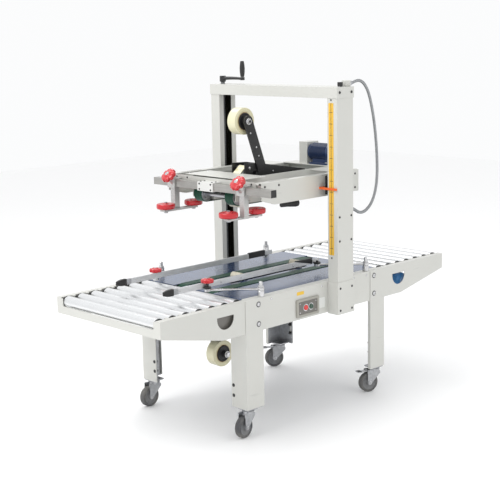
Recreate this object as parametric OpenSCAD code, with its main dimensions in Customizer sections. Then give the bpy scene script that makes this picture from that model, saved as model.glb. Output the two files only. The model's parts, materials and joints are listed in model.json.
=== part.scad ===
// Semi-automatic carton sealer: driven belts above and below, two tape cartridges,
// a head that rides on two lead screws, roller tables at both ends and four castor legs.
// Frame: +X runs from infeed to outfeed, +Z is up, the origin lies on the floor below the bed's centre.

/* [Bed] */
// Height of the bed above the floor with the legs retracted
table_h = 600; // [560:5:720]
// Width across the outer faces of the side panels
body_w = 686; // [640:2:780]
// Length of the main bed between the roller tables
bed_l = 914; // [880:2:1080]
// Length of each roller table
table_l = 461; // [400:1:560]
// Height of the side panels
panel_h = 141; // [125:1:165]
// Depth of the free end of a roller table's side plate
table_end_h = 72; // [60:1:85]
// Thickness of the folded sheet steel
sheet = 3; // [2:0.5:4]
// Width of the folded top flange of panels and tables
flange = 42; // [30:1:50]

/* [Rollers] */
// Radius of a table roller
roller_r = 24; // [18:1:28]
// Spacing of the table rollers
roller_pitch = 70.5; // [62:0.5:80]
// Height of rollers and belts above the bed plates
proud = 3; // [2:0.5:5]

/* [Legs and castors] */
// Width of a leg along the machine
leg_w = 102; // [90:1:120]
// Depth of a leg across the machine
leg_d = 95; // [85:1:110]
// Height of the leg's lower edge above the floor
leg_z = 125; // [120:1:150]
// Radius of a castor wheel
wheel_r = 47.5; // [40:0.5:50]
// Width of a castor wheel
wheel_w = 28; // [20:1:34]
// Distance from a castor's swivel axis to its wheel axle
trail = 32; // [24:1:40]
// Travel of the telescopic legs
leg_travel = 150; // [100:5:160]

/* [Mast] */
// Start of the columns along the machine
col_x = 64; // [40:1:100]
// Width of a column along the machine
col_w = 106; // [96:1:130]
// Depth of a column across the machine
col_d = 57; // [50:1:70]
// Height of the mast's top
mast_top = 1460; // [1380:5:1560]
// Height of the beam across the columns
beam_h = 48; // [40:1:70]
// Radius of the lead screws
screw_r = 10; // [8:0.5:12]

/* [Belts] */
// Distance of each belt's centre line from the machine's centre line
belt_y = 100; // [95:1:115]
// Width of a drive belt
belt_w = 50; // [40:1:54]
// Radius of a belt pulley
pulley_r = 32.7; // [28:0.1:34]
// Thickness of a drive belt
belt_t = 3; // [2:0.5:4]
// Radius of the pulley shafts
shaft_r = 10; // [8:0.5:11]
// Distance of the lower pulleys from the bed's ends
lower_inset = 62; // [55:1:80]

/* [Head] */
// Height of the carton that the head is set for
carton_h = 357; // [330:1:380]
// Front end of the head, measured from the origin
head_front = 305; // [300:1:330]
// Rear end of the head, measured from the origin
head_rear = 325; // [310:1:350]
// Half of the head's width
head_half = 300; // [290:1:306]
// Height of the head's side beams
head_h = 98; // [88:1:110]
// Side of the square crossbar that carries the press rollers
bar_s = 32; // [26:1:34]
// Length of the crossbar
bar_l = 750; // [700:2:800]
// Distance of the press carriages from the centre line
carriage_y = 223; // [215:1:235]

/* [Guides] */
// Length of a guide arm between its pivots
arm_l = 225; // [210:1:250]
// Distance of a guide rail's pivots from the centre line
guide_y = 170; // [160:1:190]
// Distance of the guide posts from the origin along the machine
post_x = 345; // [325:1:360]
// Distance of the guide posts in from the panels' outer faces
post_in = 18; // [14:1:24]

/* [Tape] */
// Radius of a full tape roll
tape_r = 60; // [50:1:66]
// Width of the tape
tape_w = 48; // [40:1:50]

/* [Hidden] */
$fn = 48;
run = 0.06;            // running clearance of a shaft in its bore, on the radius
gap = 0.3;             // clearance between pieces that slide on each other
half_w = body_w / 2;
bed_x = bed_l / 2;
table_x = bed_x + table_l;
panel_z = table_h - panel_h;
col_x1 = col_x + col_w;
col_y = half_w + col_d;
screw_x = col_x + col_w / 2;
screw_y = half_w + col_d / 2;
belt_outer = pulley_r + gap + belt_t;
lane = table_h + proud;                 // carrying plane of the lower belts
lower_z = lane - belt_outer;            // axis height of the lower pulleys
lower_px = bed_x - lower_inset;
lid = lane + carton_h;                  // pressing plane of the upper belts
upper_z = lid + belt_outer;             // axis height of the upper pulleys
front_px = -head_front + 32;
rear_px = head_rear - 40;
slot_edge = belt_y + belt_w / 2 + 3;    // half-width of the bed across both belt slots
slot_inner = belt_y - belt_w / 2 - 3;
bearer_y = slot_edge + 6;
bearer_t = 4;
bar_x = -head_front - 29;               // crossbar's centre
bar_y = -25;
bar_z = lid + 82;
beam_z = lid + 17;                      // underside of the head's side beams
cart_half = 42;                         // outer half-width of a tape cartridge
hanger = [76, 92];                      // strips that carry a cartridge, measured from the belts' plane
cart_t = 4;
castor_z = leg_z - 3;                   // underside of the castor plates
castor_plate = 30;                      // half-width of a castor's top plate
leg_cx = bed_x - castor_plate - 5;      // swivel axes of the castors
leg_cy = half_w - castor_plate - 1;
post_y = half_w - post_in;
arm_dy = post_y - guide_y;
arm_dx = sqrt(arm_l * arm_l - arm_dy * arm_dy);
arm_angle = atan2(arm_dy, arm_dx);      // slant of the guide arms from the machine's axis
arm_z = lane + 24;                      // underside of the guide arms
arm_t = 12;
castor_yaw = [8, 0, -20, -30];          // resting swivel of the castors

paint = "whitesmoke";
steel = "silver";

// ---- helpers -------------------------------------------------------------------------------

// A box between two opposite corners.
module block(low, high) { translate(low) cube(high - low); }

// A round bar between two heights, lengths or widths.
module bar_up(r, x, y, z0, z1) { translate([x, y, z0]) cylinder(r = r, h = z1 - z0); }
module bar_across(r, x, z, y0, y1) { translate([x, y0, z]) rotate([-90, 0, 0]) cylinder(r = r, h = y1 - y0); }
module bar_along(r, y, z, x0, x1) { translate([x0, y, z]) rotate([0, 90, 0]) cylinder(r = r, h = x1 - x0); }

// The children once on the near side and once mirrored to the far side.
module both_sides() { children(); mirror([0, 1, 0]) children(); }
module both_ends() { children(); mirror([1, 0, 0]) children(); }

// A plate cut to an outline in the XZ plane, from y0 to y1.
module upright_plate(y0, y1) { translate([0, y1, 0]) rotate([90, 0, 0]) linear_extrude(y1 - y0) children(); }

// An outline that runs round two circles of the same radius.
module racetrack(r, x0, x1, z) {
    translate([x0, z]) circle(r);
    translate([x1, z]) circle(r);
    translate([x0, z - r]) square([x1 - x0, 2 * r]);
}

// A hexagon screw head or nut that stands on a wall facing -Y.
module head_across(r, x, z, y, t) { translate([x, y, z]) rotate([90, 0, 0]) cylinder(r = r, h = t, $fn = 6); }

// ---- bed -----------------------------------------------------------------------------------

module side_panels() {
    color(paint) both_sides() difference() {
        union() {
            block([-bed_x, -half_w, panel_z], [bed_x, -half_w + sheet, table_h]);
            block([-bed_x, -half_w, table_h - sheet], [bed_x, -half_w + flange, table_h]);
            block([-bed_x, -half_w, panel_z], [bed_x, -half_w + flange / 2, panel_z + sheet]);
        }
        // notches for the rollers next to the bed
        both_ends()
            block([bed_x - 20, -half_w + flange - 13, table_h - sheet - 1], [bed_x + 1, -half_w + flange + 1, table_h + 1]);
    }
}

module bed_plates() {
    color("lightsteelblue") {
        both_sides()
            block([-bed_x + 17, -half_w + flange, table_h - sheet], [bed_x - 17, -slot_edge, table_h]);
        difference() {
            block([-bed_x + 17, -slot_inner, table_h - sheet], [bed_x - 17, slot_inner, table_h]);
            block([-249, -cart_half - 3, table_h - sheet - 1], [253, cart_half + 3, table_h + 1]);
        }
    }
}

// Bearers, cross plates, belt rests, pulley bearings and the lower gear motor.
module bed_frame() {
    frame_z = panel_z + sheet + 10;
    plate_x = bed_x - 20;
    motor_x = bed_x + 178;
    motor_z = panel_z + 46;
    motor_y = bearer_y + bearer_t + 24;     // face of the motor's bracket, on the near side
    color(steel) {
        difference() {
            union() {
                both_ends()
                    block([plate_x, -half_w + sheet, frame_z], [plate_x + sheet, half_w - sheet, table_h - sheet]);
                both_sides() {
                    block([-plate_x, -bearer_y - bearer_t, lane - hanger[1]], [plate_x, -bearer_y, table_h - sheet]);
                    for (x = [cart_x[0] - bearer_t, cart_x[1]])
                        block([x, -bearer_y, lane - hanger[1]], [x + bearer_t, 0, lane - hanger[0]]);
                    block([-lower_px + 40, -belt_y - belt_w / 2 + 3, table_h - 26],
                          [lower_px - 40, -belt_y + belt_w / 2 - 3, table_h - gap - 0.2]);
                    for (x = [-lower_px + 70, 0, lower_px - 70])
                        block([x - 15, -bearer_y, table_h - 22], [x + 15, -belt_y - belt_w / 2 + 3, table_h - 8]);
                    both_ends()
                        bar_across(20, lower_px, lower_z, -bearer_y - bearer_t - 8, -bearer_y - bearer_t);
                }
                block([plate_x, -motor_y - 4, motor_z - 38], [motor_x + 40, -motor_y, motor_z + 38]);
            }
            both_ends() bar_across(shaft_r + run, lower_px, lower_z, -half_w, half_w);
            bar_across(9, motor_x, motor_z, -half_w, -bearer_y);
            // way through the end plate for the drive chain
            block([plate_x - 1, -motor_y + 1, lower_z - 40], [plate_x + sheet + 1, -motor_y + 16, lower_z + 18]);
        }
        bar_across(8, motor_x, motor_z, -motor_y - 28, -motor_y + 12);
        bar_across(16, motor_x, motor_z, -motor_y + 5, -motor_y + 11);
    }
    color("royalblue")
        bar_across(38, motor_x, motor_z, -half_w + sheet + 25, -motor_y - 28);
    color("silver") difference() {
        block([motor_x - 40, -motor_y - 28, motor_z - 40], [motor_x + 40, -motor_y - 4, motor_z + 40]);
        bar_across(8, motor_x, motor_z, -motor_y - 30, -motor_y);
    }
}

// One side plate of the outfeed table, with its folds, roller notches and hand slot.
module table_side() {
    knee = bed_x + 130;
    end_z = table_h - table_end_h;
    slot_r = 47.5;
    slot_x = bed_x + 112;
    slot_z = table_h - 42;
    difference() {
        union() {
            upright_plate(-half_w, -half_w + sheet)
                polygon([[bed_x, panel_z], [knee, panel_z], [table_x, end_z], [table_x, table_h], [bed_x, table_h]]);
            block([bed_x, -half_w, table_h - sheet], [table_x, -half_w + flange, table_h]);
            block([table_x - sheet, -half_w, end_z], [table_x, -half_w + flange, table_h]);
            block([bed_x, -half_w, panel_z], [bed_x + sheet, -half_w + 30, table_h]);
            block([bed_x, -half_w, panel_z], [knee, -half_w + 22, panel_z + sheet]);
        }
        for (x = roller_places())
            block([x - roller_r - 4, -half_w + flange - 13, table_h - sheet - 1],
                  [x + roller_r + 4, -half_w + flange + 1, table_h + 1]);
        upright_plate(-half_w - 1, -half_w + sheet + 1) {
            translate([slot_x - slot_r, slot_z - 8]) square([2 * slot_r, 8]);
            intersection() {
                translate([slot_x, slot_z - 8]) circle(slot_r);
                translate([slot_x - slot_r, slot_z - 8 - slot_r]) square([2 * slot_r, slot_r]);
            }
        }
    }
}

// Distances of the outfeed rollers from the origin.
roller_end = roller_r + sheet + 1;
function roller_places() = [for (i = [0 : floor((table_l - roller_end - 8) / roller_pitch)])
    table_x - roller_end - i * roller_pitch];

join_y = 200;                // joining holes under the tables' ends
join_r = 5.5;

module roller_tables() {
    end_z = table_h - table_end_h;
    color(paint) both_ends() {
        both_sides() table_side();
        union() {
            block([table_x - sheet, -half_w + flange, end_z], [table_x, half_w - flange, end_z + 34]);
            difference() {
                block([table_x - 25, -half_w + flange, end_z], [table_x, half_w - flange, end_z + sheet]);
                for (y = [-join_y, join_y]) bar_up(join_r, table_x - 13, y, end_z - 1, end_z + sheet + 1);
            }
        }
    }
}

// Each roller is a tube with bored ends that turns on an axle held by the side plates.
module table_rollers() {
    axle_r = 6;
    z = lane - roller_r;
    end_y = half_w - flange + 6;
    color("gainsboro") both_ends() for (x = roller_places()) {
        difference() {
            bar_across(roller_r, x, z, -end_y, end_y);
            bar_across(roller_r - 2, x, z, -end_y + 8, end_y - 8);
            bar_across(axle_r + run, x, z, -half_w, half_w);
        }
        bar_across(axle_r, x, z, -half_w + sheet, half_w - sheet);
    }
}

// ---- legs and castors ----------------------------------------------------------------------

bolt_y = -half_w - sheet + leg_d - 12;      // studs that clamp the telescopic legs, near side
bolt_z = [leg_z + 52, leg_z + 97];
bolt_r = 5;

module outer_legs() {
    color(paint) both_ends() both_sides() union() {
        block([-bed_x, -half_w - sheet, leg_z], [-bed_x + leg_w, -half_w, table_h]);
        block([-bed_x, -half_w - sheet, leg_z], [-bed_x + sheet, -half_w - sheet + leg_d, panel_z]);
        block([-bed_x + leg_w - sheet, -half_w - sheet, leg_z], [-bed_x + leg_w, -half_w + 12, panel_z]);
    }
}

module inner_legs() {
    x0 = -bed_x + sheet + gap;
    x1 = -bed_x + leg_w - sheet - gap;
    y0 = -half_w + gap;
    y1 = -half_w - sheet + leg_d;
    top = panel_z - 12;
    base = 2 * castor_plate + 4;
    color(steel) both_ends() both_sides() {
        difference() {
            union() {
                block([x0, y0, castor_z], [x1, y0 + sheet, top]);
                block([x0, y0, castor_z], [x0 + sheet, y1, top]);
                block([x0, y0, castor_z], [x0 + base, y0 + base, castor_z + 4]);
            }
            block([x0 - 1, bolt_y - bolt_r - 0.6, bolt_z[0] - bolt_r - 1],
                  [x0 + sheet + 1, bolt_y + bolt_r + 0.6, bolt_z[1] + leg_travel + bolt_r + 1]);
        }
    }
    // castor plates and kingpins
    color(steel) both_ends() both_sides() {
        block([-leg_cx - castor_plate, -leg_cy - castor_plate, castor_z - 3],
              [-leg_cx + castor_plate, -leg_cy + castor_plate, castor_z]);
        bar_up(6, -leg_cx, -leg_cy, castor_z - 17, castor_z - 3);
    }
}

// Places a castor piece at castor i: 1 and 2 are the infeed pair, 3 and 4 the outfeed pair.
module at_castor(i) {
    x = i <= 2 ? -leg_cx : leg_cx;
    y = i % 2 == 1 ? -leg_cy : leg_cy;
    translate([x, y, 0]) rotate([0, 0, castor_yaw[i - 1]]) children();
}

module castor_fork(i) {
    crown = castor_z - 8;
    low = castor_z - 24;
    plate_y = wheel_w / 2 + 3;
    color(steel) at_castor(i) {
        difference() {
            union() {
                bar_up(27, 0, 0, low + 3, crown);
                block([-28, -plate_y - 3, low], [24, plate_y + 3, low + 3]);
                both_sides() upright_plate(-plate_y - 3, -plate_y) {
                    polygon([[24, low + 3], [24, low - 8], [-trail + 11, wheel_r - 3], [-trail - 11, wheel_r + 3],
                             [-44, low - 4], [-44, low + 12], [-24, low + 12]]);
                    translate([-trail, wheel_r]) circle(12);
                }
            }
            bar_up(6 + run, 0, 0, low - 1, crown + 1);
            if (i > 2) bar_across(3 + run, -37, low + 6, -40, 40);
        }
        bar_across(5, -trail, wheel_r, -plate_y - 8, -plate_y);
        bar_across(5, -trail, wheel_r, -plate_y, plate_y);
        bar_across(5, -trail, wheel_r, plate_y, plate_y + 8);
    }
}

// Tyre and hub: the tyre's tread is crowned and its shoulders are round.
module castor_wheel(i) {
    half = wheel_w / 2;
    tyre_in = wheel_r - 12;
    color("dimgray") at_castor(i) translate([-trail, 0, wheel_r]) rotate([90, 0, 0]) rotate_extrude() {
        translate([tyre_in, -half]) square([6, wheel_w]);
        translate([tyre_in + 6, -half + 6]) square([6, wheel_w - 12]);
        translate([tyre_in + 6, -half + 6]) circle(6);
        translate([tyre_in + 6, half - 6]) circle(6);
    }
    color("gray") at_castor(i) translate([-trail, 0, wheel_r]) rotate([90, 0, 0]) difference() {
        union() {
            cylinder(r = tyre_in, h = wheel_w - 12, center = true);
            cylinder(r = 13, h = wheel_w + 4, center = true);
        }
        cylinder(r = 5 + run, h = wheel_w + 10, center = true);
    }
}

module brake_pedal(i) {
    low = castor_z - 24;
    color("slategray") at_castor(i) {
        bar_across(3, -37, low + 6, -wheel_w / 2 - 8, wheel_w / 2 + 8);
        difference() {
            union() {
                block([-88, -13, low + 4], [-33, 13, low + 8]);
                block([-92, -17, low + 4], [-70, 17, low + 8]);
            }
            bar_across(3, -37, low + 6, -20, 20);
        }
    }
}

// ---- mast ----------------------------------------------------------------------------------

lip = 28;                       // width of the column's front lips
col_top = mast_top - sheet;

module columns() {
    color(paint) both_sides() {
        difference() {
            union() {
                block([col_x, -col_y, panel_z + 4], [col_x1, -col_y + sheet, col_top]);
                block([col_x, -col_y, panel_z + 4], [col_x + sheet, -half_w, col_top]);
                block([col_x1 - sheet, -col_y, panel_z + 4], [col_x1, -half_w, col_top]);
                block([col_x, -half_w - sheet, panel_z + 4], [col_x + lip, -half_w, col_top]);
                block([col_x1 - lip, -half_w - sheet, panel_z + 4], [col_x1, -half_w, col_top]);
                block([col_x, -col_y, panel_z + 4], [col_x1, -half_w, panel_z + 14]);
                block([col_x, -col_y, mast_top - 26], [col_x1, -half_w, mast_top - 16]);
            }
            bar_up(screw_r + run, screw_x, -screw_y, panel_z, mast_top + 1);
        }
        // bracket that clamps the column to the side panel
        union() {
            block([col_x - sheet, -col_y - sheet, panel_z - 6], [col_x1 + sheet, -col_y, table_h]);
            block([col_x - sheet, -col_y - sheet, panel_z - 6], [col_x, -half_w, table_h]);
            block([col_x1, -col_y - sheet, panel_z - 6], [col_x1 + sheet, -half_w, table_h]);
        }
    }
}

module crossbeam() {
    low = mast_top - beam_h;
    chain_r = 19;
    color(paint) difference() {
        union() {
            block([col_x - sheet, -col_y - sheet, mast_top - sheet], [col_x1 + sheet, col_y + sheet, mast_top]);
            block([col_x - sheet, -col_y - sheet, low], [col_x, col_y + sheet, mast_top]);
            block([col_x1, -col_y - sheet, low], [col_x1 + sheet, col_y + sheet, mast_top]);
            block([col_x - sheet, -col_y - sheet, low], [col_x1 + sheet, -col_y, mast_top]);
            block([col_x - sheet, col_y, low], [col_x1 + sheet, col_y + sheet, mast_top]);
        }
        both_sides() bar_up(screw_r + 2, screw_x, -screw_y, low, mast_top + 1);
    }
    // chain that makes both lead screws turn together
    color("dimgray") translate([screw_x, 0, mast_top - 12]) rotate([0, 0, 90]) linear_extrude(5) difference() {
        racetrack(chain_r + 3, -screw_y, screw_y, 0);
        racetrack(chain_r, -screw_y, screw_y, 0);
    }
}

module lead_screw(side, top) {
    y = side * screw_y;
    color(steel) {
        bar_up(screw_r, screw_x, y, panel_z + 5, top);
        bar_up(18, screw_x, y, mast_top - 12, mast_top - 7);
    }
    if (side < 0) color("black")
        block([screw_x - 9, y - 9, top], [screw_x + 9, y + 9, top + 17]);
}

crank_l = 135;
crank_z = mast_top + 26;

module crank_arm() {
    color("black") difference() {
        union() {
            bar_up(15, screw_x, screw_y, crank_z - 16, crank_z + 12);
            block([screw_x - 8, screw_y - crank_l, crank_z - 5], [screw_x + 8, screw_y, crank_z + 5]);
            bar_up(11, screw_x, screw_y - crank_l, crank_z - 7, crank_z + 7);
        }
        bar_up(screw_r, screw_x, screw_y, crank_z - 20, mast_top + 34);
    }
    color(steel) bar_up(4, screw_x, screw_y - crank_l, crank_z + 7, crank_z + 82);
}

module crank_grip() {
    color("black") translate([screw_x, screw_y - crank_l, crank_z + 8])
        rotate_extrude() polygon([[4 + run, 0], [9, 0], [12, 16], [12.5, 40], [11, 66], [7, 74], [4 + run, 74]]);
}

// ---- lower drive ---------------------------------------------------------------------------

module belt_loop(x0, x1, z) {
    color("darkgreen") both_sides() upright_plate(-belt_y - belt_w / 2, -belt_y + belt_w / 2) difference() {
        racetrack(belt_outer, x0, x1, z);
        racetrack(belt_outer - belt_t, x0, x1, z);
    }
}

module lower_belts() { belt_loop(-lower_px, lower_px, lower_z); }

module pulley_shaft(x, z, r, end_y) {
    color(steel) {
        bar_across(r, x, z, -end_y, end_y);
        both_sides() difference() {
            bar_across(pulley_r, x, z, -belt_y - belt_w / 2 - 1, -belt_y + belt_w / 2 + 1);
            bar_across(r, x, z, -half_w, 0);
        }
    }
}

module lower_drive_shaft() {
    end = bearer_y + bearer_t;
    pulley_shaft(lower_px, lower_z, shaft_r, end + 24);
    color("dimgray") difference() {
        bar_across(24, lower_px, lower_z, -end - 19, -end - 13);
        bar_across(shaft_r, lower_px, lower_z, -end - 30, -end);
    }
}

module lower_idler_shaft() { pulley_shaft(-lower_px, lower_z, shaft_r, bearer_y + bearer_t + 12); }

// ---- switch and hardware -------------------------------------------------------------------

switch_x = -78;
switch_z = panel_z + 51;
button_r = 12;

module switch_box() {
    color("gray") difference() {
        block([switch_x - 72, -half_w - 9, switch_z - 40], [switch_x + 72, -half_w, switch_z + 40]);
        block([switch_x - 60, -half_w - 10, switch_z - 29], [switch_x + 60, -half_w - 5, switch_z + 29]);
        for (x = [-17, 17]) bar_across(button_r + gap, switch_x + x, switch_z, -half_w - 10, -half_w - 0.5);
    }
}

module push_button(x) {
    difference() {
        bar_across(button_r, switch_x + x, switch_z, -half_w - 14, -half_w - 5.2);
        bar_across(button_r - 3, switch_x + x, switch_z, -half_w - 15, -half_w - 13);
    }
}

module stop_button() { color("red") push_button(-17); }
module start_button() { color("darkgreen") push_button(17); }

gland_top = [col_x1 + sheet, -screw_y, mast_top + 13];
gland_side = [col_x1, -screw_y, mast_top - 545];
gland_l = 20;

// Screw heads, leg clamping bolts, guide posts and the conduit's two glands.
module frame_hardware() {
    color("dimgray") both_sides() {
        both_ends() for (z = [table_h - 25, panel_z + 31])
            head_across(8, -bed_x + leg_w - 26, z, -half_w - sheet, 5);
        for (x = [col_x + 14, col_x1 - 14]) {
            for (z = [table_h - 28, panel_z + 12]) head_across(5, x, z, -col_y - sheet, 3);
            for (z = [table_h + 185, table_h + 293]) head_across(5, x, z, -col_y, 3);
            head_across(6, x, mast_top - 23, -col_y - sheet, 4);
        }
        both_ends() for (z = bolt_z) {
            bar_along(bolt_r, bolt_y, z, -bed_x + sheet, -bed_x + 2 * sheet + 12);
            bar_along(9, bolt_y, z, -bed_x + 2 * sheet + 2 * gap, -bed_x + 2 * sheet + 8);
        }
    }
    color(steel) both_sides() both_ends() {
        bar_up(8, -post_x, -post_y, table_h, arm_z + arm_t + 26);
        bar_up(15, -post_x, -post_y, table_h, arm_z - 1);
        bar_up(13, -post_x, -post_y, arm_z + arm_t + 1, arm_z + arm_t + 7);
    }
    color("dimgray") {
        block(gland_top - [32, 13, 13], gland_top + [0, 13, 13]);
        for (seat = [gland_top, gland_side]) translate(seat) rotate([0, 90, 0]) difference() {
            union() {
                cylinder(r = 13, h = 8, $fn = 6);
                cylinder(r = 10, h = gland_l);
            }
            translate([0, 0, gland_l - 8]) cylinder(r = conduit_r, h = 9);
        }
    }
}

// ---- guides --------------------------------------------------------------------------------

pin_r = 6;
rail_t = 10;
rail_h = 24;
rail_z = arm_z + arm_t + 1;

// One arm: bored boss on its post, bar, bored eye round the rail's pin.
module guide_arm(x) {
    color(steel) translate([x, -post_y, 0]) difference() {
        union() {
            bar_up(15, 0, 0, arm_z, arm_z + arm_t);
            rotate([0, 0, 180 - arm_angle]) block([0, -10, arm_z + 2], [arm_l, 10, arm_z + 10]);
            bar_up(14, -arm_dx, arm_dy, arm_z, arm_z + arm_t);
        }
        bar_up(8 + run, 0, 0, arm_z - 1, arm_z + arm_t + 1);
        bar_up(pin_r + run, -arm_dx, arm_dy, arm_z - 1, arm_z + arm_t + 1);
    }
}

// A guide rail on the near side: bar, black shoe at the infeed end, pivot lugs with pins.
module guide_rail() {
    inner = -guide_y + 20;
    front_x = -post_x - arm_dx;
    rear_x = post_x - arm_dx;
    shoe = front_x - 232;
    color(steel) {
        block([shoe + 70, inner - rail_t, rail_z], [rear_x - 130, inner, rail_z + rail_h]);
        for (x = [front_x, rear_x]) {
            bar_up(pin_r, x, -guide_y, arm_z + 1, x < 0 ? knob_z + 12 : rail_z + 14);
            difference() {
                union() {
                    block([x - 16, -guide_y, rail_z], [x + 16, inner - rail_t, rail_z + 8]);
                    bar_up(16, x, -guide_y, rail_z, rail_z + 8);
                }
                bar_up(pin_r, x, -guide_y, rail_z - 1, rail_z + 9);
            }
        }
        block([rear_x - 130, inner - rail_t + 4, rail_z + 2], [rear_x + 32, inner - 3, rail_z + rail_h - 2]);
    }
    color("black") {
        block([shoe, inner - rail_t - 3, rail_z - 3], [shoe + 70, inner + 3, rail_z + rail_h + 3]);
        difference() {
            block([rear_x - 130, inner - rail_t, rail_z], [rear_x - 22, inner + 2, rail_z + rail_h + 4]);
            block([rear_x - 131, inner - rail_t + 4, rail_z + 2], [rear_x, inner - 3, rail_z + rail_h - 2]);
        }
    }
}

// A round clamping knob with finger scallops, on the local Z axis.
module star_knob(r, h, bore) {
    difference() {
        union() {
            cylinder(r = r, h = h);
            cylinder(r = r * 0.55, h = h + 3);
        }
        for (a = [0 : 45 : 315]) rotate([0, 0, a]) translate([r + r * 0.12, 0, -1]) cylinder(r = r * 0.24, h = h + 2);
        translate([0, 0, -1]) cylinder(r = bore, h = h - 2);
    }
}

knob_z = rail_z + rail_h + gap;

module guide_knob() {
    color("crimson") translate([-post_x - arm_dx, -guide_y, knob_z]) star_knob(28, 17, pin_r + run);
}

// ---- head ----------------------------------------------------------------------------------

tube_r = 21;                    // radius of the tubes at the head's front
head_top = beam_z + head_h;

grip_y = 200;
motor_x = head_rear + 4;        // shaft of the head's gear motor
motor_y = -13;
motor_z = head_top + 66;

module head_frame() {
    color(paint) {
        // side beams
        both_sides() difference() {
            union() {
                upright_plate(-head_half, -head_half + sheet)
                    polygon([[-head_front, beam_z + 22], [-head_front + 80, beam_z], [head_rear, beam_z],
                             [head_rear, head_top], [-head_front, head_top]]);
                block([-head_front, -head_half, head_top - sheet], [head_rear, -head_half + 34, head_top]);
                block([-head_front + 80, -head_half, beam_z], [head_rear, -head_half + 24, beam_z + sheet]);
            }
            for (x = [-head_front + 60, -head_front + 290])
                block([x, -head_half + 12, head_top - sheet - 1], [x + 130, -head_half + 24, head_top + 1]);
        }
        // tubes between the side beams and the inner rails, behind the crossbar
        both_sides()
            bar_across(tube_r, -head_front + tube_r + 4, head_top - tube_r - 4, -head_half + sheet, -bearer_y - bearer_t);
        // front and rear cross plates
        block([-head_front, -head_half + 34, lid + 78], [-head_front + sheet, head_half - 34, head_top]);
        block([head_rear - sheet, -head_half + 34, lid + 78], [head_rear, head_half - 34, head_top]);
        // inner rails that hold the pulleys and belt rests
        both_sides() difference() {
            union() {
                block([-head_front + sheet, -bearer_y - bearer_t, lid + 22], [head_rear - sheet, -bearer_y, head_top + 5]);
                block([front_px + 42, -belt_y - belt_w / 2 + 3, lid + belt_t + gap + 0.2],
                      [rear_px - 42, -belt_y + belt_w / 2 - 3, lid + belt_t + 26]);
                for (x = [front_px + 70, 0, rear_px - 70])
                    block([x - 15, -bearer_y, lid + 12], [x + 15, -belt_y - belt_w / 2 + 3, lid + 26]);
                for (x = [front_px + 70, 0, rear_px - 70])
                    block([x - 15, -bearer_y - bearer_t, lid + 12], [x + 15, -bearer_y, lid + 26]);
                for (x = [cart_x[0] - bearer_t, cart_x[1]])
                    block([x, -bearer_y, lid + hanger[0]], [x + bearer_t, 0, lid + hanger[1]]);
            }
            for (x = [front_px, rear_px]) bar_across(8 + run, x, upper_z, -half_w, 0);
        }
        // guard sheets over the belts and the side bays
        block([-head_front + sheet, -bearer_y - 52, head_top + 5], [cart_x[0] + 82, bearer_y + 52, head_top + 7]);
        both_sides()
            block([head_rear - 150, -head_half + 8, head_top], [head_rear, -bearer_y - bearer_t, head_top + 2]);
        // stand of the gear motor, with its reduction gear
        difference() {
            union() {
                block([head_rear - 42, -bearer_y - bearer_t, head_top + 5], [motor_x + 46, bearer_y + bearer_t, head_top + 9]);
                block([motor_x - 38, motor_y, head_top + 9], [motor_x + 42, motor_y + 50, motor_z + 46]);
            }
            bar_across(8, motor_x, motor_z, motor_y - 1, motor_y + 51);
        }
    }
    color(steel) {
        // crossbar in its clamp
        difference() {
            block([bar_x - bar_s / 2, bar_y - bar_l / 2, bar_z - bar_s / 2],
                  [bar_x + bar_s / 2, bar_y + bar_l / 2, bar_z + bar_s / 2]);
            block([bar_x - bar_s / 2 + 3, bar_y - bar_l / 2 - 1, bar_z - bar_s / 2 + 3],
                  [bar_x + bar_s / 2 - 3, bar_y + bar_l / 2 + 1, bar_z + bar_s / 2 - 3]);
        }
        difference() {
            block([bar_x - bar_s / 2 - 4, -50, bar_z - bar_s / 2 - 4], [-head_front, 50, bar_z + bar_s / 2 + 4]);
            block([bar_x - bar_s / 2, -51, bar_z - bar_s / 2], [bar_x + bar_s / 2, 51, bar_z + bar_s / 2]);
        }
        bar_across(8, motor_x, motor_z, motor_y, motor_y + 50);
    }
    // slide blocks with the lifting nuts
    color("dimgray") both_sides() difference() {
        block([screw_x - 21, -col_y + sheet + 5, beam_z + 8], [screw_x + 21, -head_half, head_top - 8]);
        bar_up(screw_r + run, screw_x, -screw_y, beam_z, head_top);
    }
    // pointer of the height scale
    color("orangered") union() {
        block([col_x - 9, -col_y - 2, lid + 52], [col_x - 5, -head_half - 4, lid + 62]);
        block([col_x - 9, -head_half - 12, lid + 52], [col_x + 16, -head_half, lid + 62]);
    }
    // end caps of the crossbar
    color("black") for (y = [bar_y - bar_l / 2, bar_y + bar_l / 2 - 10])
        block([bar_x - bar_s / 2 + 3, y, bar_z - bar_s / 2 + 3], [bar_x + bar_s / 2 - 3, y + 10, bar_z + bar_s / 2 - 3]);
    // strut between the beams, with the hand grip under it
    color(paint)
        block([-4, -head_half + 24, beam_z], [20, -bearer_y - bearer_t, beam_z + 6]);
    color("black") union() {
        bar_up(7, 8, -grip_y, lid - 12, beam_z);
        translate([18, -grip_y, lid - 12]) rotate([0, -90, 0]) cylinder(r1 = 15, r2 = 10, h = 104);
    }
}

module head_motor() {
    color("midnightblue") translate([motor_x, motor_y, motor_z]) union() {
        bar_across(38, 0, 0, -130, 0);
        block([-38, -120, -(motor_z - head_top - 9)], [38, -8, -26]);
        block([20, -96, -24], [52, -32, 24]);
        for (y = [-116 : 14 : -18]) bar_across(42, 0, 0, y, y + 5);
    }
}

module upper_belts() { belt_loop(front_px, rear_px, upper_z); }

module upper_drive_shaft() {
    end = bearer_y + bearer_t;
    pulley_shaft(rear_px, upper_z, 8, end + 10);
    color("dimgray") difference() {
        bar_across(24, rear_px, upper_z, 14, 20);
        bar_across(8, rear_px, upper_z, 10, 24);
    }
}

module upper_idler_shaft() { pulley_shaft(front_px, upper_z, 8, bearer_y + bearer_t + 6); }

// ---- press rollers -------------------------------------------------------------------------

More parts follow.
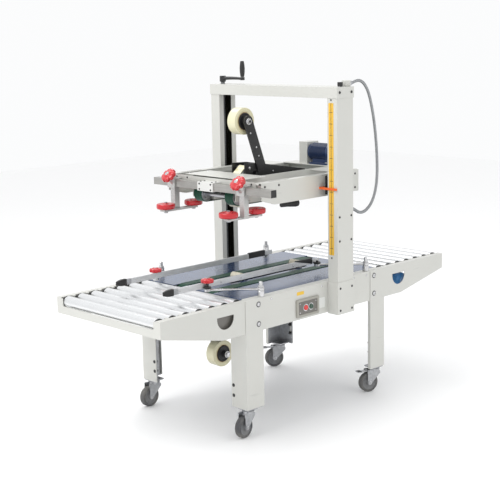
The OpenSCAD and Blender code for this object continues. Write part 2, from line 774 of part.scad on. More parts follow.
press_r = 42;
press_y = carriage_y - 20;
press_front = bar_x - 74;
press_rear = bar_x + 91;
press_z = lid - 28;
tilt = 45;

module carriage() {
    w = 24;
    tube = 28;
    c = bar_s / 2 + gap;
    color("gainsboro") difference() {
        union() {
            block([bar_x - c - 7, -carriage_y - w, bar_z - c - 5], [bar_x + c + 6, -carriage_y + w, bar_z + c + 5]);
            translate([bar_x, -carriage_y, bar_z]) rotate([0, -tilt, 0]) cylinder(r = 23, h = 38);
        }
        block([bar_x - c, -carriage_y - w - 1, bar_z - c], [bar_x + c, -carriage_y + w + 1, bar_z + c]);
        translate([bar_x, -carriage_y, bar_z]) rotate([0, -tilt, 0]) cylinder(r = 6, h = 60);
    }
    color("gainsboro") {
        block([bar_x - tube / 2, -carriage_y - tube / 2, press_z - 10], [bar_x + tube / 2, -carriage_y + tube / 2, bar_z - c - 5]);
        difference() {
            block([press_front - 16, -press_y - 22, press_z - 12], [press_rear + 16, -press_y + 12, press_z - 4]);
            block([bar_x - tube / 2, -carriage_y - tube / 2, press_z - 10], [bar_x + tube / 2, -carriage_y + tube / 2, press_z]);
            for (x = [press_front, press_rear]) bar_up(5, x, -press_y, press_z - 20, press_z);
        }
        for (x = [press_front, press_rear]) bar_up(5, x, -press_y, press_z - 16, press_z + 25);
    }
    color(steel) translate([bar_x, -carriage_y, bar_z]) rotate([0, -tilt, 0])
        translate([0, 0, bar_s * 0.5 * sqrt(2) + 1]) cylinder(r = 6, h = 31);
}

module carriage_knob() {
    color("crimson") translate([bar_x, -carriage_y, bar_z]) rotate([0, -tilt, 0])
        translate([0, 0, 39]) star_knob(36, 22, 6 + run);
}

module press_roller(x) {
    color("crimson") translate([x, -press_y, press_z]) difference() {
        union() {
            cylinder(r = press_r, h = 24);
            cylinder(r = 11, h = 26);
        }
        translate([0, 0, -1]) cylinder(r = 5 + run, h = 40);
    }
}

// ---- tape cartridges -----------------------------------------------------------------------
// Local frame of a cartridge: z = 0 is the belts' plane, and +z points away from the carton.

cart_x = [-235, 245];            // ends of the side plates
front_pivot = [-40, 60];
rear_pivot = [100, 60];
rod_r = 6;
hub_r = 8;

module cartridge_plate(y0, y1) {
    upright_plate(y0, y1) difference() {
        polygon([[-200, 14], [cart_x[0], 48], [cart_x[0], 92], [-150, 104], [-150, 166], [-60, 162], [cart_x[1], 108],
                 [cart_x[1], 50], [200, 14]]);
        translate([-90, 118]) circle(14);
        translate([175, 70]) circle(18);
    }
}

// Two side plates, their spacers and the mast that carries the tape roll at place.
module cartridge(place) {
    foot = [place[0] < -200 ? -190 : -52, place[0] < -200 ? 100 : 150];
    lean = atan2(place[1] - foot[1], place[0] - foot[0]);
    reach = norm(place - foot);
    color("black") {
        both_sides() cartridge_plate(-cart_half, -cart_half + cart_t);
        difference() {
            union() {
                upright_plate(-cart_half - 8, -cart_half) translate(foot) rotate(lean) {
                    translate([-20, -26]) square([reach + 20, 52]);
                    translate([reach, 0]) circle(26);
                }
            }
            bar_across(hub_r, place[0], place[1], -cart_half - 20, 0);
        }
    }
    color(steel) {
        for (p = [front_pivot, rear_pivot, [-215, 70], [225, 85], [-120, 145]])
            bar_across(rod_r, p[0], p[1], -cart_half + cart_t, cart_half - cart_t);
        bar_across(hub_r, place[0], place[1], -cart_half - 16, tape_w / 2 + 6);
        difference() {
            bar_across(13, place[0], place[1], -cart_half - 14, -cart_half - 8);
            bar_across(hub_r, place[0], place[1], -cart_half - 20, 0);
        }
    }
}

// Tape, its paper core and the hub that grips the core.
module tape_roll(place) {
    x = place[0];
    z = place[1];
    color("khaki") difference() {
        bar_across(tape_r, x, z, -tape_w / 2, tape_w / 2);
        bar_across(40, x, z, -tape_w, tape_w);
    }
    color("tan") difference() {
        bar_across(40, x, z, -tape_w / 2, tape_w / 2);
        bar_across(37, x, z, -tape_w, tape_w);
    }
    color("black") difference() {
        union() {
            bar_across(37, x, z, -tape_w / 2 - 5, tape_w / 2 - 2);
            bar_across(16, x, z, -cart_half + 1, tape_w / 2 - 2);
        }
        bar_across(hub_r + run, x, z, -cart_half - 20, tape_w);
    }
}

// An arm that pivots in the cartridge and carries the wiping roller at its far end.
module wipe_arm(pivot, reach_x) {
    tip = [reach_x, -12];
    lean = atan2(tip[1] - pivot[1], tip[0] - pivot[0]);
    reach = norm(tip - pivot);
    color("dimgray") difference() {
        both_sides() upright_plate(-34, -30) {
            translate(pivot) circle(15);
            translate(tip) circle(11);
            translate(pivot) rotate(lean) translate([0, -9]) square([reach, 18]);
        }
        bar_across(rod_r + run, pivot[0], pivot[1], -50, 50);
    }
    color("dimgray") difference() {
        bar_across(12, pivot[0], pivot[1], -30, 30);
        bar_across(rod_r + run, pivot[0], pivot[1], -50, 50);
    }
    color("ivory") difference() {
        bar_across(17, tip[0], tip[1], -29, 29);
        bar_across(5 + run, tip[0], tip[1], -30, 30);
    }
    color(steel) bar_across(5, tip[0], tip[1], -30, 30);
}

upper_place = [-128, 353];
lower_place = [-291, 322];

module on_head() { translate([0, 0, lid]) children(); }
module under_bed() { translate([0, 0, lane]) rotate([180, 0, 0]) children(); }

// ---- conduit -------------------------------------------------------------------------------

conduit_r = 7;
conduit_sides = 10;
// Offsets along X and Z from the end of the top gland's axis on the mast
conduit_route = [[12, 0], [20, 0], [34, 4], [52, 8], [74, 8], [96, 0], [116, -18], [134, -44], [150, -82], [164, -128],
    [177, -184], [187, -244], [194, -304], [198, -364], [198, -420], [191, -472], [176, -516], [154, -550],
    [126, -572], [96, -582], [68, -579], [46, -568], [30, -560], [20, -558], [9, -558]];

// A point of the smooth curve through four neighbours, at t from 0 to 1 between the middle two.
function curve_at(a, b, c, d, t) = 0.5 * (2 * b + (c - a) * t + (2 * a - 5 * b + 4 * c - d) * t * t
    + (3 * b - a - 3 * c + d) * t * t * t);

conduit_last = len(conduit_route) - 1;
conduit_line = [
    for (i = [0 : conduit_last - 1]) for (t = [0, 0.5])
        curve_at(conduit_route[max(i - 1, 0)], conduit_route[i], conduit_route[i + 1],
                 conduit_route[min(i + 2, conduit_last)], t),
    conduit_route[conduit_last]];

function heading(i) = let (a = conduit_line[max(i - 1, 0)], b = conduit_line[min(i + 1, len(conduit_line) - 1)])
    (b - a) / norm(b - a);

module conduit() {
    rings = len(conduit_line);
    points = [for (i = [0 : rings - 1]) for (k = [0 : conduit_sides - 1])
        let (h = heading(i), a = 360 * k / conduit_sides)
        [gland_top[0] + conduit_line[i][0] - h[1] * cos(a) * conduit_r, gland_top[1] + sin(a) * conduit_r,
         gland_top[2] + conduit_line[i][1] + h[0] * cos(a) * conduit_r]];
    sides = [for (i = [0 : rings - 2]) for (k = [0 : conduit_sides - 1])
        let (a = i * conduit_sides, n = (k + 1) % conduit_sides)
        [a + k, a + n, a + conduit_sides + n, a + conduit_sides + k]];
    start = [for (k = [conduit_sides - 1 : -1 : 0]) k];
    finish = [for (k = [0 : conduit_sides - 1]) (rings - 1) * conduit_sides + k];
    color("dimgray") polyhedron(points, concat([start], sides, [finish]), convexity = 6);
}

// ---- nodes ---------------------------------------------------------------------------------

side_panels();
bed_plates();
bed_frame();
roller_tables();
table_rollers();
outer_legs();
inner_legs();
for (i = [1 : 4]) {
    castor_fork(i);
    castor_wheel(i);
}
for (i = [3, 4]) brake_pedal(i);
columns();
crossbeam();
lead_screw(-1, mast_top + 3);  // lead_screw_near
lead_screw(1, mast_top + 34);  // lead_screw_far
crank_arm();
crank_grip();
lower_belts();
lower_drive_shaft();
lower_idler_shaft();
switch_box();
stop_button();
start_button();
frame_hardware();
guide_rail();  // guide_rail_near
mirror([0, 1, 0]) guide_rail();  // guide_rail_far
guide_arm(-post_x);  // guide_arm_near_front
guide_arm(post_x);  // guide_arm_near_rear
mirror([0, 1, 0]) guide_arm(-post_x);  // guide_arm_far_front
mirror([0, 1, 0]) guide_arm(post_x);  // guide_arm_far_rear
guide_knob();  // guide_knob_near
mirror([0, 1, 0]) guide_knob();  // guide_knob_far
head_frame();
head_motor();
upper_belts();
upper_drive_shaft();
upper_idler_shaft();
carriage();  // carriage_near
mirror([0, 1, 0]) carriage();  // carriage_far
carriage_knob();  // carriage_knob_near
mirror([0, 1, 0]) carriage_knob();  // carriage_knob_far
press_roller(press_front);  // press_roller_near_front
press_roller(press_rear);  // press_roller_near_rear
mirror([0, 1, 0]) press_roller(press_front);  // press_roller_far_front
mirror([0, 1, 0]) press_roller(press_rear);  // press_roller_far_rear
on_head() cartridge(upper_place);  // upper_cartridge
on_head() tape_roll(upper_place);  // upper_tape_roll
on_head() wipe_arm(front_pivot, -170);  // upper_front_arm
on_head() wipe_arm(rear_pivot, 215);  // upper_rear_arm
under_bed() cartridge(lower_place);  // lower_cartridge
under_bed() tape_roll(lower_place);  // lower_tape_roll
under_bed() wipe_arm(front_pivot, -170);  // lower_front_arm
under_bed() wipe_arm(rear_pivot, 215);  // lower_rear_arm
conduit();
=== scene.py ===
# %% [markdown]
# # Dressing a carton sealer
#
# A carton sealer carries a box between two pairs of driven belts while a tape cartridge above
# and one below close its seams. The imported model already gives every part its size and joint.
# This lesson keeps that frame fixed and gives each part its edges, fittings and finish. Big
# sheet-metal parts are kept as they are and only get soft edges. Small turned, moulded or wound
# parts, which look coarse in a plain model, are made again here as smooth numpy surfaces.

# %% Load the fixed frame
import json
import math

import bmesh
import bpy
import numpy as np
from mathutils import Matrix, Vector

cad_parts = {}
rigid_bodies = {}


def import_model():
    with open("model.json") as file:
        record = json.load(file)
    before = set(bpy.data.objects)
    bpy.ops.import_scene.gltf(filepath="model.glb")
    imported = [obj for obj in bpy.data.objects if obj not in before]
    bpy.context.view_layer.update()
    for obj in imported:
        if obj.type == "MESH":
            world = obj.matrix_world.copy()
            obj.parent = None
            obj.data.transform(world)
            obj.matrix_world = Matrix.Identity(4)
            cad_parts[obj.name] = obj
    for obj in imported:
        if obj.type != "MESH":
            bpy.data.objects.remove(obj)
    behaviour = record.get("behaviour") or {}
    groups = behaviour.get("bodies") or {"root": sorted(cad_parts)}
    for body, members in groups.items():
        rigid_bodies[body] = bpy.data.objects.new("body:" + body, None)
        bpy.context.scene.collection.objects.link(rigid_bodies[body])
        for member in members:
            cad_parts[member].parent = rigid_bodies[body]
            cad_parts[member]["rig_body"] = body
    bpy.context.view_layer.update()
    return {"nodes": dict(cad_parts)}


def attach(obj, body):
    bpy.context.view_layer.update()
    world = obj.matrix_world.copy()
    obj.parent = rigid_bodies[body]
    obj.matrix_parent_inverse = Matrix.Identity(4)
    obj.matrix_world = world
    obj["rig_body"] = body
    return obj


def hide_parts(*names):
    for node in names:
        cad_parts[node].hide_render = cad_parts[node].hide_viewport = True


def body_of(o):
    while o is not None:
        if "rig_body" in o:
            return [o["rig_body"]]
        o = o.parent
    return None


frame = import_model()

# %% [markdown]
# ## The camera
#
# A product camera stands a few metres off a corner of the machine and looks slightly down. A long
# lens keeps the uprights nearly parallel.

# %% Camera
EYE = Vector((-3.6642, -3.6575, 1.6973))
YAW = math.radians(45.63)
PITCH = math.radians(-10.79)
ROLL = math.radians(-1.12)


def aim(yaw, pitch, roll):
    """Rotation whose -Z looks along yaw and pitch, then turned about that line by roll."""
    ahead = Vector((math.cos(yaw) * math.cos(pitch), math.sin(yaw) * math.cos(pitch), math.sin(pitch)))
    right = Vector((math.sin(yaw), -math.cos(yaw), 0))
    up = right.cross(ahead)
    across = right * math.cos(roll) + up * math.sin(roll)
    above = up * math.cos(roll) - right * math.sin(roll)
    return Matrix((across, above, -ahead)).transposed().to_4x4()


lens = bpy.data.cameras.new("product_camera")
lens.lens = 82.02
lens.sensor_width = 36
lens.clip_end = 60
camera = bpy.data.objects.new("product_camera", lens)
camera.matrix_world = Matrix.Translation(EYE) @ aim(YAW, PITCH, ROLL)
bpy.context.collection.objects.link(camera)
bpy.context.scene.camera = camera
print("camera is", round(EYE.length, 2), "m from the origin")

# %% [markdown]
# ## Shells: how a new piece is computed
#
# Every new piece here is a stack of rings. A ring is a row of points, and faces join each ring to
# the next, so a tube, a turned knob and a folded plate all come from one routine. Only the rule
# that places the rings differs. The rings are computed as whole numpy arrays, which is quick and
# keeps the formula in sight.

# %% Rings become a shell
def stack(rings, closed=False):
    """Vertices and faces of a stack of rings, an array of (rings, points, 3). Neighbouring rings are
    joined by quads; a closed stack joins its last ring to its first, an open one gets two end faces."""
    rings = np.asarray(rings, float)
    rows, cols = rings.shape[:2]
    i = np.arange(rows if closed else rows - 1)[:, None]
    j = np.arange(cols)[None, :]
    after_i, after_j = (i + 1) % rows, (j + 1) % cols
    quads = np.stack([i * cols + j, i * cols + after_j, after_i * cols + after_j, after_i * cols + j], -1)
    faces = quads.reshape(-1, 4).tolist()
    if not closed:
        faces += [list(range(cols))[::-1], list(range((rows - 1) * cols, rows * cols))]
    return rings.reshape(-1, 3), faces


def together(*shells):
    """One shell from several, with the later face numbers moved up."""
    points, faces, count = [], [], 0
    for verts, quads in shells:
        points.append(np.asarray(verts, float))
        faces += [[k + count for k in face] for face in quads]
        count += len(verts)
    return np.concatenate(points), faces


def mm(*numbers):
    """Pairs of metres from a flat list of millimetres."""
    return [(a / 1000, b / 1000) for a, b in zip(numbers[::2], numbers[1::2])]


def moved(shell, by):
    """The shell with every point put through a 4x4 matrix, or shifted by three numbers."""
    verts, faces = shell
    if not isinstance(by, Matrix):
        by = Matrix.Translation(by)
    m = np.array(by)
    return verts @ m[:3, :3].T + m[:3, 3], faces


def mirrored(shell):
    """The shell's twin on the machine's other side, with y turned round."""
    verts, faces = shell
    return verts * [1, -1, 1], [face[::-1] for face in faces]


# %% Turned, carried and cut shapes
X_AXIS, Y_AXIS, Z_AXIS = (1, 0, 0), (0, 1, 0), (0, 0, 1)
NEAR = (0, -1, 0)    # towards the operator's side of the machine


def directions(axis):
    """Two unit vectors at right angles to axis and to each other."""
    axis = np.asarray(axis, float) / np.linalg.norm(axis)
    side = np.cross(axis, [0, 0, 1.0] if abs(axis[2]) < 0.9 else [0, 1.0, 0])
    side = side / np.linalg.norm(side)
    return axis, side, np.cross(axis, side)


def turned(profile, start=(0, 0, 0), axis=Z_AXIS, sides=40, wave=None):
    """A lathe: point = start + axis * t + r * (cos a * u + sin a * v) for each (t, r) of the profile.
    wave(a, t, r), if given, returns a factor on r, which makes scallops, flutes or fins."""
    t, r = np.asarray(profile, float).T
    a = np.linspace(0, 2 * np.pi, sides, endpoint=False)[None, :]
    axis, u, v = directions(axis)
    reach = r[:, None] * (np.ones_like(a) if wave is None else wave(a, t[:, None], r[:, None]))
    rings = np.asarray(start) + t[:, None, None] * axis
    rings = rings + reach[..., None] * (np.cos(a)[..., None] * u + np.sin(a)[..., None] * v)
    return stack(rings, closed=bool(np.allclose(profile[0], profile[-1])))


def carried(path, outline, closed=False, up=Y_AXIS):
    """An outline of (across, above) points carried along a path, where
    point = path + across * side + above * lift. side is the path's heading crossed with up, which
    must never lie along the path."""
    path = np.asarray(path, float)
    if closed:
        heading = np.roll(path, -1, 0) - np.roll(path, 1, 0)
    else:
        heading = np.gradient(path, axis=0)
    heading = heading / np.linalg.norm(heading, axis=1, keepdims=True)
    side = np.cross(heading, up)
    side = side / np.linalg.norm(side, axis=1, keepdims=True)
    lift = np.cross(side, heading)
    outline = np.asarray(outline, float)
    if outline.ndim == 2:
        outline = np.broadcast_to(outline, (len(path),) + outline.shape)
    rings = path[:, None] + outline[..., :1] * side[:, None] + outline[..., 1:] * lift[:, None]
    return stack(rings, closed)


def cut_plate(outline, low, high, axis="z"):
    """A flat outline given a thickness from low to high. axis says which way the thickness runs:
    for x the outline holds (y, z) points, for y it holds (x, z), for z it holds (x, y)."""
    outline = np.asarray(outline, float)
    place = "xyz".index(axis)
    return stack([np.insert(outline, place, level, axis=1) for level in (low, high)])


def rounded(low, high, radius, steps=5):
    """A rectangle from low to high whose corners are quarter circles of that radius."""
    (x0, y0), (x1, y1) = low, high
    a = np.linspace(0, np.pi / 2, steps + 1)
    centres = [(x1 - radius, y1 - radius), (x0 + radius, y1 - radius),
               (x0 + radius, y0 + radius), (x1 - radius, y0 + radius)]
    parts = [np.stack([cx + radius * np.cos(a + k * np.pi / 2), cy + radius * np.sin(a + k * np.pi / 2)], -1)
             for k, (cx, cy) in enumerate(centres)]
    return np.concatenate(parts)


def centred(x, y, half_x, half_y, radius):
    """A rounded rectangle about the point (x, y)."""
    return rounded((x - half_x, y - half_y), (x + half_x, y + half_y), radius)


print("a test ring stack has", len(turned([(0, 1), (1, 1)], sides=8)[0]), "points")


# %% A shell becomes a piece
def body_of_node(node):
    """Name of the body that a CAD node rides on."""
    return body_of(frame["nodes"][node])[0]


def piece(name, shell, finish, body, stands_for=(), soft=0.0, crease=35):
    """Makes the mesh, merges doubles, turns faces outward, shades it, and lets it ride on its body.
    soft is the width of a rounded edge in metres, made by a Bevel modifier that keeps flats flat."""
    verts, faces = shell
    mesh = bpy.data.meshes.new(name)
    mesh.from_pydata(np.asarray(verts, float).tolist(), [], faces)
    form = bmesh.new()
    form.from_mesh(mesh)
    bmesh.ops.remove_doubles(form, verts=form.verts, dist=2e-6)
    bmesh.ops.dissolve_degenerate(form, edges=form.edges, dist=1e-7)
    bmesh.ops.recalc_face_normals(form, faces=form.faces)
    form.to_mesh(mesh)
    form.free()
    mesh.materials.append(finish)
    mesh.shade_smooth()
    obj = bpy.data.objects.new(name, mesh)
    bpy.context.collection.objects.link(obj)
    if soft:
        round_edges(obj, soft)
    else:
        mesh.set_sharp_from_angle(angle=math.radians(crease))
    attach(obj, body)
    if stands_for:
        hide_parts(*stands_for)
    return obj


def dressed(name, shell, finish, node, soft=0.0, crease=35):
    """A piece that stands for a CAD node and rides on that node's body."""
    return piece(name, shell, finish, body_of_node(node), [node], soft, crease)


def on_side(shell, side):
    """The shell as drawn for the near side, or its twin for the far side."""
    return shell if side == "near" else mirrored(shell)


def round_edges(obj, width, angle=32):
    """A folded or machined edge is never razor sharp: a narrow bevel, then normals weighted by area."""
    bevel = obj.modifiers.new("soft_edge", "BEVEL")
    bevel.width = width
    bevel.segments = 2
    bevel.limit_method = "ANGLE"
    bevel.angle_limit = math.radians(angle)
    bevel.use_clamp_overlap = True
    smooth = obj.modifiers.new("flat_faces", "WEIGHTED_NORMAL")
    smooth.mode = "FACE_AREA"
    smooth.weight = 60


# %% [markdown]
# ## Finishes: shared node groups first
#
# Powder coat, brushed steel and moulded plastic differ in colour, but they share the same few
# effects: a fine grain, long brush marks, dust on upward faces, scuffs, and an edge tone that is
# partly wear and partly a painted sheen. Each effect is one node group with named sockets, built
# once. A material places the groups it needs and gives them its own values, so that one change to a
# group reaches every finish.

# %% Helpers for shader nodes
def group_of(name, inputs, outputs):
    """An empty node group with its sockets: (name, type, default) for inputs, (name, type) for outputs."""
    tree = bpy.data.node_groups.new(name, "ShaderNodeTree")
    for label, kind, value in inputs:
        socket = tree.interface.new_socket(name=label, in_out="INPUT", socket_type="NodeSocket" + kind)
        if value is not None:
            socket.default_value = value
    for label, kind in outputs:
        tree.interface.new_socket(name=label, in_out="OUTPUT", socket_type="NodeSocket" + kind)
    return tree, tree.nodes.new("NodeGroupInput").outputs, tree.nodes.new("NodeGroupOutput").inputs


def fill(tree, node, values):
    """Sets a node's inputs: a socket is linked, and anything else becomes the input's own value."""
    for key, value in values.items():
        if isinstance(value, bpy.types.NodeSocket):
            tree.links.new(value, node.inputs[key])
        else:
            node.inputs[key].default_value = value
    return node


def add(tree, kind, values=None, **settings):
    """A node with its settings and the values or links of its inputs."""
    node = tree.nodes.new("ShaderNode" + kind)
    for key, value in settings.items():
        setattr(node, key, value)
    return fill(tree, node, values or {})


def use(tree, group, values):
    """Places a node group and returns its outputs."""
    node = tree.nodes.new("ShaderNodeGroup")
    node.node_tree = group
    return fill(tree, node, values).outputs


def calc(tree, operation, first, second=0.0, third=0.0, clamp=False):
    """One Math node; returns its value socket."""
    node = add(tree, "Math", {0: first, 1: second, 2: third}, operation=operation, use_clamp=clamp)
    return node.outputs[0]


def blend_colour(tree, amount, first, second, mode="MIX"):
    """Mixes two colours; returns the colour socket."""
    return add(tree, "Mix", {0: amount, 6: first, 7: second}, data_type="RGBA", blend_type=mode).outputs[2]


def band(tree, value, low, high, to_low=0.0, to_high=1.0):
    """Maps low..high to to_low..to_high, clamped and smooth at both ends."""
    return add(tree, "MapRange", {0: value, 1: low, 2: high, 3: to_low, 4: to_high},
               interpolation_type="SMOOTHSTEP").outputs[0]


def noise(tree, at, scale, detail, rough=0.5):
    """Noise at a position; returns its value socket."""
    values = {"Vector": at, "Scale": scale, "Detail": detail, "Roughness": rough}
    return add(tree, "TexNoise", values).outputs[0]


def give(tree, outputs, *sockets):
    """Links a group's results to its output sockets, in order, and returns the group."""
    for socket, place in zip(sockets, outputs):
        tree.links.new(socket, place)
    return tree


# %% Effect groups: grain, brushing, dust, scuffs and edges
def make_grain():
    """Fine pimples of a sprayed or moulded skin, with a slow drift of gloss and tone."""
    tree, i, o = group_of("fine_grain", [("Vector", "Vector", None), ("Size", "Float", 700.0),
                                         ("Colour", "Color", (1, 1, 1, 1)), ("Drift", "Float", 0.06),
                                         ("Roughness", "Float", 0.4)],
                          [("Colour", "Color"), ("Roughness", "Float"), ("Height", "Float")])
    fine = noise(tree, i[0], i[1], 3.0, 0.55)
    slow = noise(tree, i[0], 5.0, 5.0, 0.6)
    shade = calc(tree, "MULTIPLY", calc(tree, "SUBTRACT", slow, 0.5), i[3])
    tone = calc(tree, "ADD", 1.0, calc(tree, "MULTIPLY", shade, 2.0))
    grey = add(tree, "CombineColor", {0: tone, 1: tone, 2: tone}).outputs[0]
    gloss = calc(tree, "ADD", i[4], calc(tree, "MULTIPLY", shade, 1.5), clamp=True)
    return give(tree, o, blend_colour(tree, 1.0, i[2], grey, "MULTIPLY"), gloss, fine)


def make_brushing():
    """Long scratches along one direction: noise squeezed across the stroke, so it stretches along it."""
    tree, i, o = group_of("brush_marks", [("Vector", "Vector", None), ("Stroke", "Vector", (4, 400, 400)),
                                          ("Low", "Float", 0.2), ("High", "Float", 0.4)],
                          [("Roughness", "Float"), ("Height", "Float"), ("Mask", "Float")])
    spread = add(tree, "VectorMath", {0: i[0], 1: i[1]}, operation="MULTIPLY").outputs[0]
    lines = noise(tree, spread, 1.0, 4.0, 0.7)
    cloud = noise(tree, i[0], 14.0, 3.0)
    both = calc(tree, "ADD", calc(tree, "MULTIPLY", lines, 0.65), calc(tree, "MULTIPLY", cloud, 0.35))
    span = calc(tree, "SUBTRACT", i[3], i[2])
    rough = calc(tree, "ADD", i[2], calc(tree, "MULTIPLY", band(tree, both, 0.3, 0.7), span))
    return give(tree, o, rough, lines, both)


def make_dust():
    """Dust lies on faces that look up, in clouds, and low on the machine: z below about 0.3 m."""
    tree, i, o = group_of("workshop_dust", [("Vector", "Vector", None), ("Colour", "Color", (1, 1, 1, 1)),
                                            ("Roughness", "Float", 0.4), ("Amount", "Float", 0.3)],
                          [("Colour", "Color"), ("Roughness", "Float"), ("Mask", "Float")])
    facing = add(tree, "SeparateXYZ", {0: add(tree, "NewGeometry").outputs["Normal"]}).outputs[2]
    height = add(tree, "SeparateXYZ", {0: i[0]}).outputs[2]
    cloud = noise(tree, i[0], 11.0, 6.0, 0.65)
    up = calc(tree, "MULTIPLY", band(tree, facing, 0.5, 1.0), band(tree, cloud, 0.35, 0.75))
    low = calc(tree, "MULTIPLY", band(tree, height, 0.30, 0.0), band(tree, cloud, 0.3, 0.8))
    mask = calc(tree, "MULTIPLY", calc(tree, "MAXIMUM", up, low), i[3], clamp=True)
    rough = calc(tree, "ADD", i[2], calc(tree, "MULTIPLY", mask, 0.5), clamp=True)
    return give(tree, o, blend_colour(tree, mask, i[1], (0.36, 0.34, 0.30, 1)), rough, mask)


def make_scuffs():
    """Rub marks: patches of thin slanting lines, kept to where a slow noise is high."""
    tree, i, o = group_of("rub_marks", [("Vector", "Vector", None), ("Colour", "Color", (1, 1, 1, 1)),
                                        ("Mark", "Color", (0.3, 0.3, 0.3, 1)), ("Amount", "Float", 0.4)],
                          [("Colour", "Color"), ("Mask", "Float")])
    slant = {"Vector": i[0], "Rotation": (0.5, 0.7, 0.4), "Scale": (8, 240, 60)}
    lines = noise(tree, add(tree, "Mapping", slant).outputs[0], 1.0, 2.0)
    patch = noise(tree, i[0], 7.0, 2.0)
    mask = calc(tree, "MULTIPLY", band(tree, lines, 0.64, 0.74), band(tree, patch, 0.5, 0.68))
    mask = calc(tree, "MULTIPLY", mask, i[3], clamp=True)
    return give(tree, o, blend_colour(tree, mask, i[1], i[2]), mask)


def make_edge_sheen_and_wear():
    """How far a rounded normal leans away from the flat one is large only near an edge: 1 - their dot
    product, broken up by noise so that the edge tone comes and goes. The edge tone is exposed metal
    where it is darker than the finish and a painted sheen along the edge where it is lighter."""
    tree, i, o = group_of("edge_sheen_and_wear", [("Vector", "Vector", None), ("Colour", "Color", (1, 1, 1, 1)),
                                        ("EdgeTone", "Color", (0.4, 0.4, 0.4, 1)), ("Width", "Float", 0.002),
                                        ("Amount", "Float", 0.6)],
                          [("Colour", "Color"), ("Mask", "Float")])
    round_normal = add(tree, "Bevel", {"Radius": i[3]}, samples=4).outputs[0]
    flat = add(tree, "NewGeometry").outputs["Normal"]
    dot = add(tree, "VectorMath", {0: round_normal, 1: flat}, operation="DOT_PRODUCT").outputs["Value"]
    lean = band(tree, calc(tree, "SUBTRACT", 1.0, dot), 0.02, 0.25)
    edge_patches = noise(tree, i[0], 130.0, 4.0)
    mask = calc(tree, "MULTIPLY", lean, band(tree, edge_patches, 0.42, 0.62))
    mask = calc(tree, "MULTIPLY", mask, i[4], clamp=True)
    return give(tree, o, blend_colour(tree, mask, i[1], i[2]), mask)


GRAIN, BRUSHING, DUST = make_grain(), make_brushing(), make_dust()
SCUFFS, EDGE_SHEEN_AND_WEAR = make_scuffs(), make_edge_sheen_and_wear()
print("effect groups:", [g.name for g in (GRAIN, BRUSHING, DUST, SCUFFS, EDGE_SHEEN_AND_WEAR)])


# %% [markdown]
# ### Painted and moulded finishes
#
# A painted sheet is a base colour with grain in its bump, then dust, rubbing and an edge tone laid
# over it in that order. The edge tone is exposed metal where it is darker than the paint and a
# painted sheen along the edge where it is lighter. Moulded plastic uses the same chain without the
# edge tone. One maker with a handful of values gives all of them, and each value that is the same
# everywhere is set straight on the shader.

# %% Coated finishes
def start_finish(name, **constants):
    """A new material: its tree, its shader and its Object coordinates. constants go on the shader."""
    finish = bpy.data.materials.new(name)
    finish.use_nodes = True
    tree = finish.node_tree
    shader = tree.nodes["Principled BSDF"]
    for key, value in constants.items():
        shader.inputs[key.replace("_", " ")].default_value = value
    return finish, tree, shader, add(tree, "TexCoord").outputs["Object"]


def surface(tree, shader, colour, rough, height, strength, distance):
    """The last links of a finish: colour, roughness, and a bump made from a height."""
    relief = add(tree, "Bump", {"Height": height, "Strength": strength, "Distance": distance}).outputs[0]
    for socket, label in ((colour, "Base Color"), (rough, "Roughness"), (relief, "Normal")):
        tree.links.new(socket, shader.inputs[label])


def coated(name, colour, rough, grain=650.0, bump=0.12, drift=0.05, dust=0.25, scuff=0.25,
           mark=(0.25, 0.25, 0.24), edge=0.0, edge_tone=(0.45, 0.45, 0.44), **constants):
    """Paint, powder coat, rubber or moulded plastic."""
    finish, tree, shader, at = start_finish(name, **constants)
    skin = use(tree, GRAIN, {"Vector": at, "Size": grain, "Colour": (*colour, 1), "Drift": drift,
                             "Roughness": rough})
    rubbed = use(tree, SCUFFS, {"Vector": at, "Colour": skin[0], "Mark": (*mark, 1), "Amount": scuff})
    tone = rubbed[0]
    # The edge tone is exposed metal where it is darker than the finish, and a painted sheen along the edge
    # where it is lighter.
    if edge:
        tone = use(tree, EDGE_SHEEN_AND_WEAR, {"Vector": at, "Colour": tone, "EdgeTone": (*edge_tone, 1), "Width": 0.0022,
                                     "Amount": edge})[0]
    dusty = use(tree, DUST, {"Vector": at, "Colour": tone, "Roughness": skin[1], "Amount": dust})
    surface(tree, shader, dusty[0], dusty[1], skin[2], bump, 0.0006)
    return finish


WHITE_COAT = coated("white_powder_coat", (0.595, 0.595, 0.56), 0.36, drift=0.03, dust=0.12, scuff=0.18,
                    edge=0.35, Coat_Weight=0.15, Coat_Roughness=0.25)
BED_BLUE = coated("bed_blue_steel", (0.045, 0.085, 0.19), 0.2, grain=900.0, drift=0.1, dust=0.2, scuff=0.5,
                  mark=(0.3, 0.33, 0.38), Metallic=0.35, Coat_Weight=0.3, Coat_Roughness=0.12)
# Its lighter edge tone is a painted sheen along the edges.
BLACK_COAT = coated("black_enamel", (0.012, 0.012, 0.013), 0.33, dust=0.12, scuff=0.25, edge=0.5,
                    mark=(0.12, 0.12, 0.12), edge_tone=(0.35, 0.35, 0.35), Coat_Weight=0.2)
BLACK_PLASTIC = coated("black_moulding", (0.014, 0.014, 0.015), 0.45, grain=1400.0, bump=0.2, dust=0.12,
                       scuff=0.2, mark=(0.08, 0.08, 0.08))
TYRE_RUBBER = coated("grey_tyre_rubber", (0.06, 0.063, 0.07), 0.62, grain=1100.0, bump=0.3,
                     drift=0.12, dust=0.5, scuff=0.5, mark=(0.2, 0.19, 0.18))
HUB_GREY = coated("castor_hub_plastic", (0.16, 0.165, 0.175), 0.42, grain=1200.0, dust=0.3, scuff=0.3)
RED_GLOSS = coated("red_knob_plastic", (0.57, 0.012, 0.02), 0.18, grain=500.0, bump=0.05,
                   drift=0.04, dust=0.05, scuff=0.12, mark=(0.75, 0.25, 0.22), Coat_Weight=0.6,
                   Coat_Roughness=0.08)
